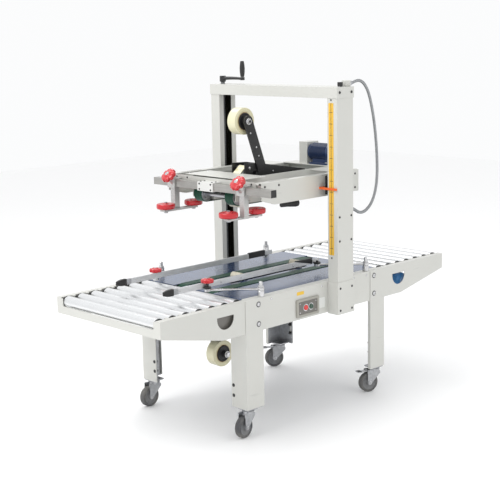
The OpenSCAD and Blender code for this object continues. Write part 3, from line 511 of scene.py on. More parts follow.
RED_ROLLER = coated("red_roller_plastic", (0.53, 0.012, 0.02), 0.27, grain=700.0, bump=0.08,
                    drift=0.05, dust=0.06, scuff=0.35, mark=(0.7, 0.3, 0.26), Coat_Weight=0.3,
                    Coat_Roughness=0.15)
# Its lighter edge tone is a painted sheen along the edges.
MOTOR_NAVY = coated("navy_motor_enamel", (0.02, 0.04, 0.11), 0.36, dust=0.3, scuff=0.2, edge=0.3,
                    edge_tone=(0.2, 0.22, 0.26), Coat_Weight=0.25)
DRIVE_BLUE = coated("blue_motor_enamel", (0.05, 0.23, 0.55), 0.34, dust=0.15, scuff=0.2, Coat_Weight=0.3)
# Its lighter edge tone is a painted sheen along the edges.
SWITCH_GREY = coated("grey_switch_coat", (0.36, 0.35, 0.31), 0.4, dust=0.1, scuff=0.2, edge=0.3)
SWITCH_DARK = coated("dark_switch_plate", (0.17, 0.16, 0.145), 0.35, dust=0.08, scuff=0.25)
BUTTON_RED = coated("red_button_plastic", (0.66, 0.016, 0.012), 0.22, dust=0.03, scuff=0.1, Coat_Weight=0.5)
BUTTON_GREEN = coated("green_button_plastic", (0.008, 0.06, 0.028), 0.25, dust=0.03, scuff=0.1,
                      Coat_Weight=0.5)
POINTER_ORANGE = coated("orange_pointer", (0.80, 0.13, 0.02), 0.35, dust=0.05, scuff=0.1)
COLUMN_DARK = coated("dark_column_liner", (0.018, 0.018, 0.012), 0.55, dust=0.1, scuff=0.2)
WIPER_IVORY = coated("ivory_wiping_rubber", (0.62, 0.58, 0.47), 0.5, grain=900.0, dust=0.1, scuff=0.3)
CLAMP_WHITE = coated("pale_clamp_coat", (0.68, 0.68, 0.66), 0.32, dust=0.08, scuff=0.25, edge=0.4)
BLANK_LABEL = coated("blank_pale_label", (0.74, 0.75, 0.73), 0.3, dust=0.05, scuff=0.3, Coat_Weight=0.3)
YELLOW_LABEL = coated("blank_yellow_label", (0.80, 0.50, 0.03), 0.32, dust=0.05, scuff=0.2, Coat_Weight=0.3)
CARD_CORE = coated("card_core", (0.36, 0.24, 0.12), 0.8, grain=1500.0, bump=0.4, dust=0.0, scuff=0.1)
print("coated finishes:", len([m for m in bpy.data.materials if m.use_nodes]))

# %% [markdown]
# ### Bare metals
#
# Rollers are chromed tube, arms and rails are zinc-plated or brushed, and machined parts show
# turning marks. Metal reads as metal by its reflections, so its colour is nearly constant and the
# detail sits in the roughness and a shallow bump, both from the brushing group.

# %% Metal finishes
def metal(name, colour, low, high, stroke=(300, 12, 300), bump=0.05, dust=0.15, stain=0.12, metallic=1.0):
    """Bare metal: brushed roughness, a faint stain in the colour, and a little dust."""
    finish, tree, shader, at = start_finish(name, Metallic=metallic)
    marks = use(tree, BRUSHING, {"Vector": at, "Stroke": stroke, "Low": low, "High": high})
    dull = tuple(v * (1 - stain * 2) for v in colour)
    tone = blend_colour(tree, band(tree, marks[2], 0.35, 0.65), (*colour, 1), (*dull, 1))
    dusty = use(tree, DUST, {"Vector": at, "Colour": tone, "Roughness": marks[0], "Amount": dust})
    surface(tree, shader, dusty[0], dusty[1], marks[1], bump, 0.0004)
    return finish


CHROME = metal("roller_chrome", (0.80, 0.81, 0.82), 0.24, 0.36, stroke=(500, 9, 500), dust=0.05, stain=0.05,
               metallic=0.8)
ZINC = metal("zinc_plate", (0.50, 0.51, 0.53), 0.24, 0.42, stroke=(60, 60, 60), dust=0.2)
BRIGHT_STEEL = metal("bright_steel", (0.74, 0.74, 0.75), 0.16, 0.32, stroke=(200, 200, 30), dust=0.1)
BRUSHED_RAIL = metal("brushed_aluminium", (0.72, 0.73, 0.74), 0.3, 0.5, stroke=(6, 500, 500), dust=0.12,
                     metallic=0.45)
CAST_ALUMINIUM = metal("cast_aluminium", (0.60, 0.60, 0.59), 0.34, 0.52, stroke=(220, 220, 220), bump=0.2,
                       metallic=0.75)
BAR_STEEL = metal("crossbar_steel", (0.45, 0.44, 0.42), 0.28, 0.45, stroke=(500, 7, 500), dust=0.12)
DARK_STEEL = metal("oiled_dark_steel", (0.16, 0.165, 0.17), 0.3, 0.5, stroke=(90, 90, 90), dust=0.2)
CONDUIT_METAL = metal("conduit_metal", (0.36, 0.37, 0.38), 0.3, 0.46, stroke=(150, 150, 150), dust=0.15)
print("materials so far:", len(bpy.data.materials))

# %% [markdown]
# ### Patterned finishes
#
# Three finishes carry a pattern of their own. The belts have a pebbled green cover. Wound tape
# shows fine rings on its side faces, so its pattern depends on the distance from the roll's axis.
# The height scale is a yellow strip with dark marks at every ten millimetres.

# %% Belt, tape and scale
def make_wound_edge():
    """Rings round an axis along Y: noise of the distance from the roll's centre in the XZ plane."""
    tree, i, o = group_of("wound_edge", [("Vector", "Vector", None), ("Centre", "Vector", (0, 0, 0))],
                          [("Mask", "Float"), ("Height", "Float")])
    offset = add(tree, "VectorMath", {0: i[0], 1: i[1]}, operation="SUBTRACT").outputs[0]
    flat = add(tree, "VectorMath", {0: offset, 1: (1, 0, 1)}, operation="MULTIPLY").outputs[0]
    radius = add(tree, "VectorMath", {0: flat}, operation="LENGTH").outputs["Value"]
    rings, bands = [add(tree, "TexNoise", {"W": radius, "Scale": scale, "Detail": detail},
                        noise_dimensions="1D").outputs[0] for scale, detail in ((900.0, 3.0), (130.0, 2.0))]
    mixed = calc(tree, "ADD", calc(tree, "MULTIPLY", rings, 0.5), calc(tree, "MULTIPLY", bands, 0.5))
    return give(tree, o, band(tree, mixed, 0.35, 0.65), rings)


WOUND_EDGE = make_wound_edge()


def wound_tape(name, centre):
    """Glossy cream film, darker and lighter in thin rings round the roll's axis."""
    finish, tree, shader, at = start_finish(name, Coat_Weight=0.5, Coat_Roughness=0.1)
    rings = use(tree, WOUND_EDGE, {"Vector": at, "Centre": centre})
    film = blend_colour(tree, rings[0], (0.60, 0.55, 0.32, 1), (0.76, 0.73, 0.52, 1))
    skin = use(tree, GRAIN, {"Vector": at, "Size": 300.0, "Colour": film, "Drift": 0.05, "Roughness": 0.24})
    surface(tree, shader, skin[0], skin[1], rings[1], 0.15, 0.0005)
    return finish


def belt_cover():
    """Green belt cover: rounded pebbles about 2 mm apart, with paler worn tops."""
    finish, tree, shader, at = start_finish("green_belt_cover", Specular_IOR_Level=0.25)
    cells = add(tree, "TexVoronoi", {"Vector": at, "Scale": 480.0}, feature="SMOOTH_F1")
    pebble = band(tree, cells.outputs["Distance"], 0.1, 0.75, 1.0, 0.0)
    shade = blend_colour(tree, pebble, (0.002, 0.026, 0.014, 1), (0.004, 0.085, 0.046, 1))
    rubbed = use(tree, SCUFFS, {"Vector": at, "Colour": shade, "Mark": (0.06, 0.13, 0.10, 1), "Amount": 0.4})
    dusty = use(tree, DUST, {"Vector": at, "Colour": rubbed[0], "Roughness": 0.42, "Amount": 0.1})
    surface(tree, shader, dusty[0], dusty[1], pebble, 0.5, 0.0005)
    return finish


def height_scale(middle_y):
    """Golden strip: a mark where the fraction of z / 10 mm is small, longer at every fifth mark."""
    finish, tree, shader, at = start_finish("golden_height_scale", Coat_Weight=0.4, Coat_Roughness=0.15)
    axes = add(tree, "SeparateXYZ", {0: at}).outputs
    aside = calc(tree, "ABSOLUTE", calc(tree, "SUBTRACT", axes[1], middle_y))
    short = calc(tree, "LESS_THAN", calc(tree, "FRACT", calc(tree, "MULTIPLY", axes[2], 200.0)), 0.28)
    long = calc(tree, "LESS_THAN", calc(tree, "FRACT", calc(tree, "MULTIPLY", axes[2], 20.0)), 0.05)
    near = calc(tree, "LESS_THAN", aside, 0.0032)
    wide = calc(tree, "LESS_THAN", aside, 0.0085)
    line = calc(tree, "LESS_THAN", aside, 0.0007)
    ink = calc(tree, "MAXIMUM", calc(tree, "MULTIPLY", short, near), calc(tree, "MULTIPLY", long, wide))
    ink = calc(tree, "MAXIMUM", ink, line)
    skin = use(tree, GRAIN, {"Vector": at, "Size": 500.0, "Colour": (0.78, 0.46, 0.035, 1), "Drift": 0.06,
                             "Roughness": 0.3})
    rubbed = use(tree, SCUFFS, {"Vector": at, "Colour": skin[0], "Mark": (0.75, 0.6, 0.3, 1),
                                "Amount": 0.35})
    tree.links.new(blend_colour(tree, ink, rubbed[0], (0.05, 0.035, 0.02, 1)), shader.inputs["Base Color"])
    tree.links.new(skin[1], shader.inputs["Roughness"])
    return finish


BELT_GREEN = belt_cover()
print("materials:", len(bpy.data.materials))

# %% [markdown]
# ## The conduit
#
# A ribbed metal conduit carries the head's power lead from the mast's top to the column's side. It
# is a cord: a smooth centreline with a real length. The line is the same curve as in the frame's
# source, a Catmull-Rom spline through stated offsets. The ribs come from a radius that rises and
# falls along the line, about one rib every four millimetres.

# %% The conduit's centreline
GLAND_TOP = np.array([0.173, -0.3715, 1.473])
ROUTE = np.array([[12, 0], [20, 0], [34, 4], [52, 8], [74, 8], [96, 0], [116, -18], [134, -44], [150, -82],
                  [164, -128], [177, -184], [187, -244], [194, -304], [198, -364], [198, -420], [191, -472],
                  [176, -516], [154, -550], [126, -572], [96, -582], [68, -579], [46, -568], [30, -560],
                  [20, -558], [9, -558]]) / 1000


def smooth_line(points, per_span):
    """Catmull-Rom: 0.5 (2b + (c-a)t + (2a-5b+4c-d)t^2 + (3b-a-3c+d)t^3) over four neighbours a, b, c, d."""
    ends = np.concatenate([points[:1], points, points[-1:]])
    a, b, c, d = (ends[k:len(ends) - 3 + k, None] for k in range(4))
    t = np.linspace(0, 1, per_span, endpoint=False)[None, :, None]
    square, cube = 2 * a - 5 * b + 4 * c - d, 3 * b - a - 3 * c + d
    spans = 0.5 * (2 * b + (c - a) * t + square * t ** 2 + cube * t ** 3)
    return np.concatenate([spans.reshape(-1, points.shape[1]), points[-1:]])


def evenly(line, step):
    """The same line with points a constant step apart, found by its running length."""
    run = np.concatenate([[0], np.cumsum(np.linalg.norm(np.diff(line, axis=0), axis=1))])
    marks = np.linspace(0, run[-1], int(round(run[-1] / step)) + 1)
    return np.stack([np.interp(marks, run, column) for column in line.T], -1), run[-1]


flat_line = smooth_line(ROUTE, 12)
conduit_line = np.stack([flat_line[:, 0], np.zeros(len(flat_line)), flat_line[:, 1]], -1) + GLAND_TOP
conduit_path, conduit_length = evenly(conduit_line, 0.001)
print("conduit is", round(conduit_length, 4), "m long")

# %% The ribbed tube
turn = np.linspace(0, 2 * np.pi, 14, endpoint=False)
swell = 0.0064 + 0.0006 * np.sin(2 * np.pi * np.arange(len(conduit_path)) / 4)
circles = swell[:, None, None] * np.stack([np.cos(turn), np.sin(turn)], -1)[None]
conduit = piece("conduit_tube", carried(conduit_path, circles), CONDUIT_METAL, "frame", ["conduit"],
                crease=80)

# %% [markdown]
# ## Folded sheet metal
#
# Panels, legs, columns and beams are folded from 3 mm sheet. Their shape in the frame is right, and
# what is missing is the softness of a real fold. A merged copy of each node gets a narrow bevel.
# Where one node holds parts of different finish, a rule on the middle of each face says which
# faces a copy takes.

# %% Copies of frame nodes
def node_faces(node):
    """Points and triangles of a CAD node as arrays."""
    mesh = frame["nodes"][node].data
    mesh.calc_loop_triangles()
    points = np.empty(len(mesh.vertices) * 3)
    mesh.vertices.foreach_get("co", points)
    corners = np.empty(len(mesh.loop_triangles) * 3, dtype=np.int32)
    mesh.loop_triangles.foreach_get("vertices", corners)
    return points.reshape(-1, 3), corners.reshape(-1, 3)


def copied(node, name, finish, rule=None, soft=0.0008):
    """A merged, tidied copy of the faces that rule(middles) accepts, with soft edges, in a new finish."""
    points, corners = node_faces(node)
    if rule is not None:
        corners = corners[rule(points[corners].mean(1))]
    used, corners = np.unique(corners, return_inverse=True)
    mesh = bpy.data.meshes.new(name)
    mesh.from_pydata(points[used].tolist(), [], corners.reshape(-1, 3).tolist())
    form = bmesh.new()
    form.from_mesh(mesh)
    bmesh.ops.remove_doubles(form, verts=form.verts, dist=5e-6)
    bmesh.ops.dissolve_limit(form, angle_limit=math.radians(0.3), verts=form.verts, edges=form.edges)
    form.to_mesh(mesh)
    form.free()
    mesh.materials.append(finish)
    mesh.shade_smooth()
    obj = bpy.data.objects.new(name, mesh)
    bpy.context.collection.objects.link(obj)
    round_edges(obj, soft)
    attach(obj, body_of_node(node))
    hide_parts(node)
    return obj


def within(low, high):
    """A rule that accepts middles inside a box, given in metres."""
    low, high = np.asarray(low), np.asarray(high)
    return lambda middles: ((middles > low) & (middles < high)).all(1)


def outside(*rules):
    """A rule that accepts what none of the other rules accepts."""
    return lambda middles: ~np.any([rule(middles) for rule in rules], axis=0)


# %% Bed, tables, legs and mast
copied("side_panels", "side_panel_sheets", WHITE_COAT)
copied("roller_tables", "roller_table_sheets", WHITE_COAT)
copied("outer_legs", "leg_sheets", WHITE_COAT)
copied("inner_legs", "sliding_leg_sheets", ZINC)
copied("columns", "column_sheets", WHITE_COAT)
copied("bed_plates", "bed_cover_plates", BED_BLUE, soft=0.0006)
# Three thin walls line each column: back, front side and rear side, as (x0, y0, x1, y1).
LINER_WALLS = ((0.0675, -0.3966, 0.1665, -0.3970), (0.0670, -0.3966, 0.0674, -0.3462),
               (0.1666, -0.3966, 0.1670, -0.3462))
LINER_LOW, LINER_HIGH = 0.474, 1.433
liner = together(*[cut_plate([(x0, y0), (x1, y0), (x1, y1), (x0, y1)], LINER_LOW, LINER_HIGH)
                   for x0, y0, x1, y1 in LINER_WALLS])
piece("column_liners", together(liner, mirrored(liner)), COLUMN_DARK, "frame")
chain = within([0.05, -0.41, 1.4475], [0.18, 0.41, 1.4535])
hidden_chain = lambda m: chain(m) & (np.abs(m[:, 0] - 0.117) < 0.0225)
copied("crossbeam", "crossbeam_sheets", WHITE_COAT, outside(hidden_chain))
copied("crossbeam", "lift_chain", DARK_STEEL, hidden_chain, soft=0.0003)

# %% [markdown]
# ## Fasteners
#
# A machine looks made when its screws are there. One pan-head screw is turned once: a flat skirt,
# a domed shoulder and a sunk socket. It is then repeated as an array operation, one shift per
# place, so eighty screws cost one small mesh each and no loop over points.

# %% Screws, bolts and nuts
PAN = np.array([[0, 0.2], [0, 1], [0.3, 1], [0.72, 0.84], [0.95, 0.6], [1, 0.46], [0.55, 0.42], [0.55, 0.0]])
HEX_NUT = np.array([[0, 0.3], [0, 0.97], [0.1, 1], [0.85, 1], [1, 0.9], [1, 0.55], [0.75, 0.5], [0.75, 0]])


def scattered(shell, places):
    """Copies of a shell at many places, computed at once: vertices + shifts as one broadcast sum."""
    verts, faces = shell
    places = np.asarray(places, float).reshape(-1, 3)
    points = (verts[None] + places[:, None]).reshape(-1, 3)
    steps = np.arange(len(places)) * len(verts)
    return points, [[k + step for k in face] for step in steps for face in faces]


def screw_heads(radius, height, axis, places):
    """Pan heads that stand along axis on the given points."""
    head = turned(PAN * [height, radius], axis=axis, sides=16)
    return scattered(head, places)


def nuts(radius, height, axis, places):
    """Hexagon nuts or bolt heads that stand along axis on the given points."""
    head = turned(HEX_NUT * [height, radius], axis=axis, sides=6)
    return scattered(head, places)


def both(shell):
    """The shell on the near side and its twin on the far side."""
    return together(shell, mirrored(shell))


LEG_FACE, PANEL_FACE, CUFF_FACE, COLUMN_FACE = -0.346, -0.343, -0.403, -0.400
leg_screws = [[x, LEG_FACE, z] for x in (-0.381, 0.381) for z in (0.575, 0.490)]
panel_screws = [[x, PANEL_FACE, 0.585] for x in (-0.30, 0.02, 0.24, 0.33)]
piece("leg_and_panel_screws",
      together(both(screw_heads(0.009, 0.005, NEAR, leg_screws)),
               both(screw_heads(0.005, 0.0028, NEAR, panel_screws))),
      BRIGHT_STEEL, "frame", ["frame_hardware"])
washer = turned(mm(0, 0, 0, 12.5, 0.8, 12.5, 1.2, 12, 1.2, 0), axis=NEAR, sides=24)
piece("leg_washers", both(scattered(washer, leg_screws)), DARK_STEEL, "frame", ["frame_hardware"])
# A dark plate stands a little way behind each hand slot: painted shade, a dark sheet where the inside of the
# table lies in shadow.
slot_shade_sheet = cut_plate([(-0.642, 0.478), (-0.587, 0.462), (-0.490, 0.462), (-0.490, 0.566), (-0.642, 0.566)],
                  -0.3255, -0.3240, "y")
piece("slot_shade_sheets", both(slot_shade_sheet), SWITCH_DARK, "frame")
BOLT_X = (0.078, 0.156)
column_bolts = [[x, CUFF_FACE, z] for x in BOLT_X for z in (0.572, 0.471)]
column_bolts += [[x, COLUMN_FACE, z] for x in BOLT_X for z in (0.785, 0.893)]
beam_bolts = [[x, CUFF_FACE, 1.437] for x in BOLT_X]
piece("column_and_beam_bolts",
      together(both(screw_heads(0.0052, 0.003, NEAR, column_bolts)),
               both(screw_heads(0.0062, 0.004, NEAR, beam_bolts)),
               screw_heads(0.004, 0.0025, (-1, 0, 0), [[0.064, -0.365, 1.405], [0.064, -0.365, 0.708]])),
      BLACK_COAT, "frame", ["frame_hardware"])

# %% Leg studs, guide posts and conduit glands
STUD_Y = -0.263
studs = []
for x, way in ((-0.454, 1), (0.454, -1)):
    for z in (0.177, 0.222):
        studs.append(turned(mm(0, 0, 0, 5, 14, 5, 15, 4, 15, 0), (x, STUD_Y, z), (way, 0, 0), 16))
        studs.append(nuts(0.009, 0.0065, (way, 0, 0), [[x + way * 0.0036, STUD_Y, z]]))
        studs.append(screw_heads(0.008, 0.003, (-way, 0, 0), [[x - way * 0.003, STUD_Y, z]]))
piece("leg_studs", both(together(*studs)), BLACK_COAT, "frame", ["frame_hardware"])
POST = mm(0, 0, 0, 13.5, 2, 15, 24, 15, 26, 13.5, 26, 8, 40.2, 8, 40.2, 11.8, 41.4, 13, 45, 13, 46, 12,
          46, 8, 63, 8, 65, 6.5, 65, 0)
posts = [turned(POST, (x, -0.325, 0.6), Z_AXIS, 32) for x in (-0.345, 0.345)]
piece("guide_posts", both(together(*posts)), BRIGHT_STEEL, "frame", ["frame_hardware"])
GLAND = mm(0, 0, 0, 11.8, 1, 13, 7, 13, 8, 11.8, 8, 0)
CAP = mm(8, 0, 8, 10, 16.5, 10, 19, 8.5, 20, 7.3, 12, 7.2, 12, 0)
glands = []
for seat in (GLAND_TOP, np.array([0.170, -0.3715, 0.915])):
    glands.append(turned(GLAND, seat, X_AXIS, 6))
    glands.append(turned(CAP, seat, X_AXIS, 24,
                         wave=lambda a, t, r: 1 + 0.03 * np.cos(12 * a) * (r > 0.0099)))
piece("conduit_glands", together(*glands), ZINC, "frame", ["frame_hardware"])
box = cut_plate(rounded((-0.3845, 1.460), (-0.3585, 1.486), 0.004), 0.141, 0.173, "x")
piece("gland_box", box, WHITE_COAT, "frame", ["frame_hardware"], soft=0.0012)
print("fastener pieces ride on", body_of_node("frame_hardware"))

# %% [markdown]
# ## Rollers
#
# A table roller is a chromed tube with a pressed-in bearing at each end, turning on a fixed axle.
# Seen from above its ends show a dark ring where the bearing sits, so the tube's profile turns in
# at the ends and a black ring fills the recess.

# %% Table rollers
ROLLER_R = 0.024
ROLLER_Z = 0.603 - ROLLER_R
roller_x = 0.890 - 0.0705 * np.arange(7)
roller_x = np.concatenate([-roller_x, roller_x])
HALF_TUBE = mm(-302.5, 0, -302.5, 18.5, -306, 19.5, -307, 21, -307, 23.2, -306.2, 24)
TUBE = HALF_TUBE + [(-t, r) for t, r in HALF_TUBE[::-1]]
tube = turned(TUBE, axis=Y_AXIS, sides=40)
roller_places = np.stack([roller_x, np.zeros(14), np.full(14, ROLLER_Z)], -1)
piece("table_roller_tubes", scattered(tube, roller_places), CHROME, "frame", ["table_rollers"])
CAP_RING = mm(298.5, 22.5, 298.5, 24.05, 306.6, 24.05, 307.4, 23.2, 307.4, 21.2, 306.2, 19.6,
              304, 18.6, 303, 22.5, 298.5, 22.5)
end_cap = turned(CAP_RING, axis=Y_AXIS, sides=40)
piece("roller_end_caps", both(scattered(end_cap, roller_places)), BLACK_PLASTIC, "frame", ["table_rollers"])
RING = mm(302.6, 6.2, 305, 6.2, 305.5, 9, 304.5, 11.5, 305.2, 14, 305, 18.3, 302.6, 18.3, 302.6, 6.2)
bearing = turned(RING, axis=Y_AXIS, sides=24)
piece("roller_bearings", both(scattered(bearing, roller_places)), BLACK_PLASTIC, "frame", ["table_rollers"])
AXLE = mm(303, 0, 303, 6, 339.2, 6, 339.8, 5.4, 339.8, 0)
axle = turned(AXLE, axis=Y_AXIS, sides=12)
piece("roller_axles", both(scattered(axle, roller_places)), ZINC, "frame", ["table_rollers"])
print("rollers:", len(roller_places), "at a pitch of 70.5 mm")

# %% [markdown]
# ## Castors
#
# Each castor has a pressed fork, a grey tyre on a plastic hub and an axle bolt. The forks stay as
# frame copies. The wheel is one lathe profile for the tyre, with a crowned tread and soft
# shoulders, and one for the hub, with a dished web, and both are turned about the wheel's axle.

# %% Wheels, forks and brake pedals
WHEEL_R, TRAIL = 0.0475, 0.032
CASTORS = {1: (-0.422, -0.312, 8), 2: (-0.422, 0.312, 0), 3: (0.422, -0.312, -20), 4: (0.422, 0.312, -30)}
shoulder = [(0.008 + 0.006 * math.sin(a), 0.0412 + 0.0063 * math.cos(a))
            for a in np.linspace(np.pi / 2, 0, 6)]
TYRE = [(-t, r) for t, r in shoulder] + [(t, r) for t, r in shoulder[::-1]]
TYRE = [(-0.0136, 0.0360)] + TYRE + [(0.0136, 0.0360), (-0.0136, 0.0360)]
HUB_HALF = mm(15.8, 5.2, 16, 11.8, 15, 13, 8.2, 15, 7, 18, 7.8, 29, 10.8, 32.5, 11.8, 35.8)
HUB = [(-t, r) for t, r in HUB_HALF] + HUB_HALF[::-1] + [(-0.0158, 0.0052)]


def castor_place(number):
    """Where a castor's kingpin stands on the floor, and how far it is swivelled."""
    x, y, yaw = CASTORS[number]
    return Matrix.Translation((x, y, 0)) @ Matrix.Rotation(math.radians(yaw), 4, "Z")


for number in CASTORS:
    place = castor_place(number) @ Matrix.Translation((-TRAIL, 0, WHEEL_R))
    node = f"castor_wheel_{number}"
    wheel_body = body_of_node(node)
    tyre = moved(turned(TYRE, axis=Y_AXIS, sides=72), place)
    hub = moved(turned(HUB, axis=Y_AXIS, sides=48,
                       wave=lambda a, t, r: 1 + 0.035 * np.cos(6 * a) * ((r > 0.0175) & (r < 0.03))), place)
    piece(f"castor_tyre_{number}", tyre, TYRE_RUBBER, wheel_body, [node])
    piece(f"castor_hub_{number}", hub, HUB_GREY, wheel_body, [node])
    copied(f"castor_fork_{number}", f"castor_fork_plate_{number}", ZINC, soft=0.0006)
    bolts = together(nuts(0.0085, 0.004, NEAR, [[0, -0.0201, 0]]),
                     nuts(0.0085, 0.004, Y_AXIS, [[0, 0.0201, 0]]))
    piece(f"castor_axle_nuts_{number}", moved(bolts, place), BRIGHT_STEEL,
          body_of_node(f"castor_fork_{number}"))
for number in (3, 4):
    copied(f"brake_pedal_{number}", f"pedal_plate_{number}", ZINC, soft=0.0007)
    rib = cut_plate(rounded((-0.0012, -0.013), (0.0012, 0.013), 0.001), 0.1056, 0.1072, "z")
    ribs = moved(scattered(rib, [[x, 0, 0] for x in (-0.089, -0.084, -0.079, -0.074)]), castor_place(number))
    piece(f"pedal_ribs_{number}", ribs, BLACK_PLASTIC, body_of_node(f"brake_pedal_{number}"))

# %% [markdown]
# ## Lead screws and crank
#
# The head climbs two lead screws inside the columns. A screw thread is a tube whose radius depends
# on angle minus height, so the crest winds up as a helix: one turn for each ten millimetres. The
# crank on the far screw has a bulky hub, a tapering arm and a turning grip.

# %% Threaded screws and their fittings
def threaded(x, y, low, high, radius, lead):
    """A single-start thread: the radius is crest or root by a steep sine of a - 2 pi z / lead."""
    z = np.arange(low, high, lead / 8)
    profile = [(0, radius * 0.86)] + [(v - low, radius) for v in z] + [(high - low, radius * 0.86)]
    return turned(profile, (x, y, low), Z_AXIS, 20,
                  wave=lambda a, t, r: 0.93 + 0.07 * np.tanh(2.2 * np.sin(a - 2 * np.pi * t / lead)))


SCREW_X, SCREW_Y, MAST_TOP = 0.117, 0.3715, 1.460
SPROCKET = mm(0, 10, 0, 16.5, 1, 18, 4, 18, 5, 16.5, 5, 10, 0, 10)
for side, y, top in (("near", -SCREW_Y, MAST_TOP + 0.003), ("far", SCREW_Y, MAST_TOP + 0.034)):
    shaft = threaded(SCREW_X, y, 0.464, 1.44, 0.0098, 0.010)
    plain = turned([(0, 0), (0, 0.0098), (top - 1.439, 0.0098), (top - 1.438, 0.009), (top - 1.438, 0)],
                   (SCREW_X, y, 1.438), Z_AXIS, 24)
    teeth = turned(SPROCKET, (SCREW_X, y, 1.448), Z_AXIS, 60,
                   wave=lambda a, t, r: 1 + 0.03 * np.cos(15 * a))
    dressed(f"lead_screw_thread_{side}", together(shaft, plain, teeth), DARK_STEEL,
          f"lead_screw_{side}", crease=50)
cap = cut_plate(centred(SCREW_X, -SCREW_Y, 0.009, 0.009, 0.002), 1.463, 1.480, "z")
dressed("near_screw_cap", cap, BLACK_PLASTIC, "lead_screw_near", soft=0.0012)

# %% Crank and grip
CRANK_Z, CRANK_L = 1.486, 0.135
HUB_PROFILE = mm(0, 0, 0, 13.5, 1.5, 15, 26.5, 15, 28, 13.8, 28, 0)
hub = turned(HUB_PROFILE, (SCREW_X, SCREW_Y, CRANK_Z - 0.016), Z_AXIS, 40)
along = np.linspace(0, 1, 24)
arm_line = np.stack([np.full(24, SCREW_X), SCREW_Y - 0.006 - (CRANK_L - 0.008) * along,
                     CRANK_Z + 0.0015 * np.sin(np.pi * along)], -1)
around = np.linspace(0, 2 * np.pi, 20, endpoint=False)
half_wide = 0.0108 - 0.0028 * along
half_high = 0.0085 - 0.0022 * along
oval = np.stack([half_wide[:, None] * np.cos(around), half_high[:, None] * np.sin(around)], -1)
arm = carried(arm_line, oval, up=Z_AXIS)
eye = turned(mm(0, 0, 0, 9.8, 1.2, 11, 12.8, 11, 14, 9.8, 14, 0),
             (SCREW_X, SCREW_Y - CRANK_L, CRANK_Z - 0.007), Z_AXIS, 32)
set_screw = screw_heads(0.004, 0.0016, (-1, 0, 0), [[SCREW_X - 0.0148, SCREW_Y, CRANK_Z + 0.004]])
dressed("crank_casting", together(hub, arm, eye, set_screw), BLACK_COAT, "crank_arm")
pin = turned(mm(0, 0, 0, 4, 74.5, 4, 75, 3.5, 75, 0),
             (SCREW_X, SCREW_Y - CRANK_L, CRANK_Z + 0.007), Z_AXIS, 20)
dressed("crank_pin", pin, BRIGHT_STEEL, "crank_arm")
s = np.linspace(0, 1, 22)
grip_r = 0.0082 + 0.0040 * np.sin(np.pi * np.clip(s * 1.02, 0, 1)) ** 0.8
GRIP = [(0, 0.0042)] + [(0.074 * v, r) for v, r in zip(s, grip_r)] + [(0.074, 0.0042), (0, 0.0042)]
dressed("crank_grip_barrel", turned(GRIP, (SCREW_X, SCREW_Y - CRANK_L, CRANK_Z + 0.008), Z_AXIS, 36),
      BLACK_PLASTIC, "crank_grip")
print("crank top at", round(CRANK_Z + 0.082, 4))

# %% [markdown]
# ## Belts and pulleys
#
# A drive belt runs round two pulleys: two half circles joined by straight runs. The belt is a
# section with soft corners carried round that closed path. Its outside has two shallow grooves,
# so that it doesn't look like a flat strip.

# %% Belt loops
def oval_path(x0, x1, z, radius, y):
    """A stadium line: half circles of that radius round (x0, z) and (x1, z), with straight runs between."""
    a = np.linspace(0, np.pi, 25)
    right = np.stack([x1 + radius * np.sin(a), z + radius * np.cos(a)], -1)
    left = np.stack([x0 - radius * np.sin(a), z - radius * np.cos(a)], -1)
    low_run = np.stack([np.linspace(x1, x0, 22)[1:-1], np.full(20, z - radius)], -1)
    high_run = np.stack([np.linspace(x0, x1, 22)[1:-1], np.full(20, z + radius)], -1)
    flat = np.concatenate([right, low_run, left, high_run])
    return np.stack([flat[:, 0], np.full(len(flat), y), flat[:, 1]], -1)


BELT_HALF, BELT_THICK, BELT_OUT = 0.025, 0.003, 0.036
cross = np.linspace(-1, 1, 25)
groove = 0.0005 * (np.abs(np.abs(cross) - 0.38) < 0.05)
edge_drop = 0.0008 * np.clip((np.abs(cross) - 0.93) / 0.07, 0, 1)
outer = np.stack([np.full(25, 0.0) - groove - edge_drop, BELT_HALF * cross], -1)
inner = np.stack([np.full(9, -BELT_THICK), BELT_HALF * np.linspace(1, -1, 9)], -1)
belt_section = np.concatenate([outer, inner])


def belt(x0, x1, z):
    """Both belts of a pair: the section's across axis points out of the loop."""
    loop = oval_path(x0, x1, z, BELT_OUT, -0.100)
    section = belt_section * [-1, 1] if np.cross(loop[1] - loop[0], Y_AXIS)[2] < 0 else belt_section
    return both(carried(loop, section, closed=True))


def check_loop(shell, z):
    """Half of the loop's height over its axis, which must equal the outer radius."""
    return round(float(shell[0][:, 2].max() - z), 5)


lower_pair, upper_pair = belt(-0.395, 0.395, 0.567), belt(-0.273, 0.285, 0.996)
print("belt radii:", check_loop(lower_pair, 0.567), check_loop(upper_pair, 0.996))
dressed("lower_drive_belts", lower_pair, BELT_GREEN, "lower_belts")
dressed("upper_drive_belts", upper_pair, BELT_GREEN, "upper_belts")

# %% Pulley shafts
def pulley(radius, shaft):
    """A crowned drum with chamfered rims and a dished web, as a profile along the shaft."""
    half = [(-0.026, shaft), (-0.026, 0.018), (-0.022, 0.020), (-0.022, radius * 0.84),
            (-0.026, radius * 0.88), (-0.026, radius - 0.0008), (-0.025, radius)]
    return half + [(-t, r) for t, r in half[::-1]] + half[:1]


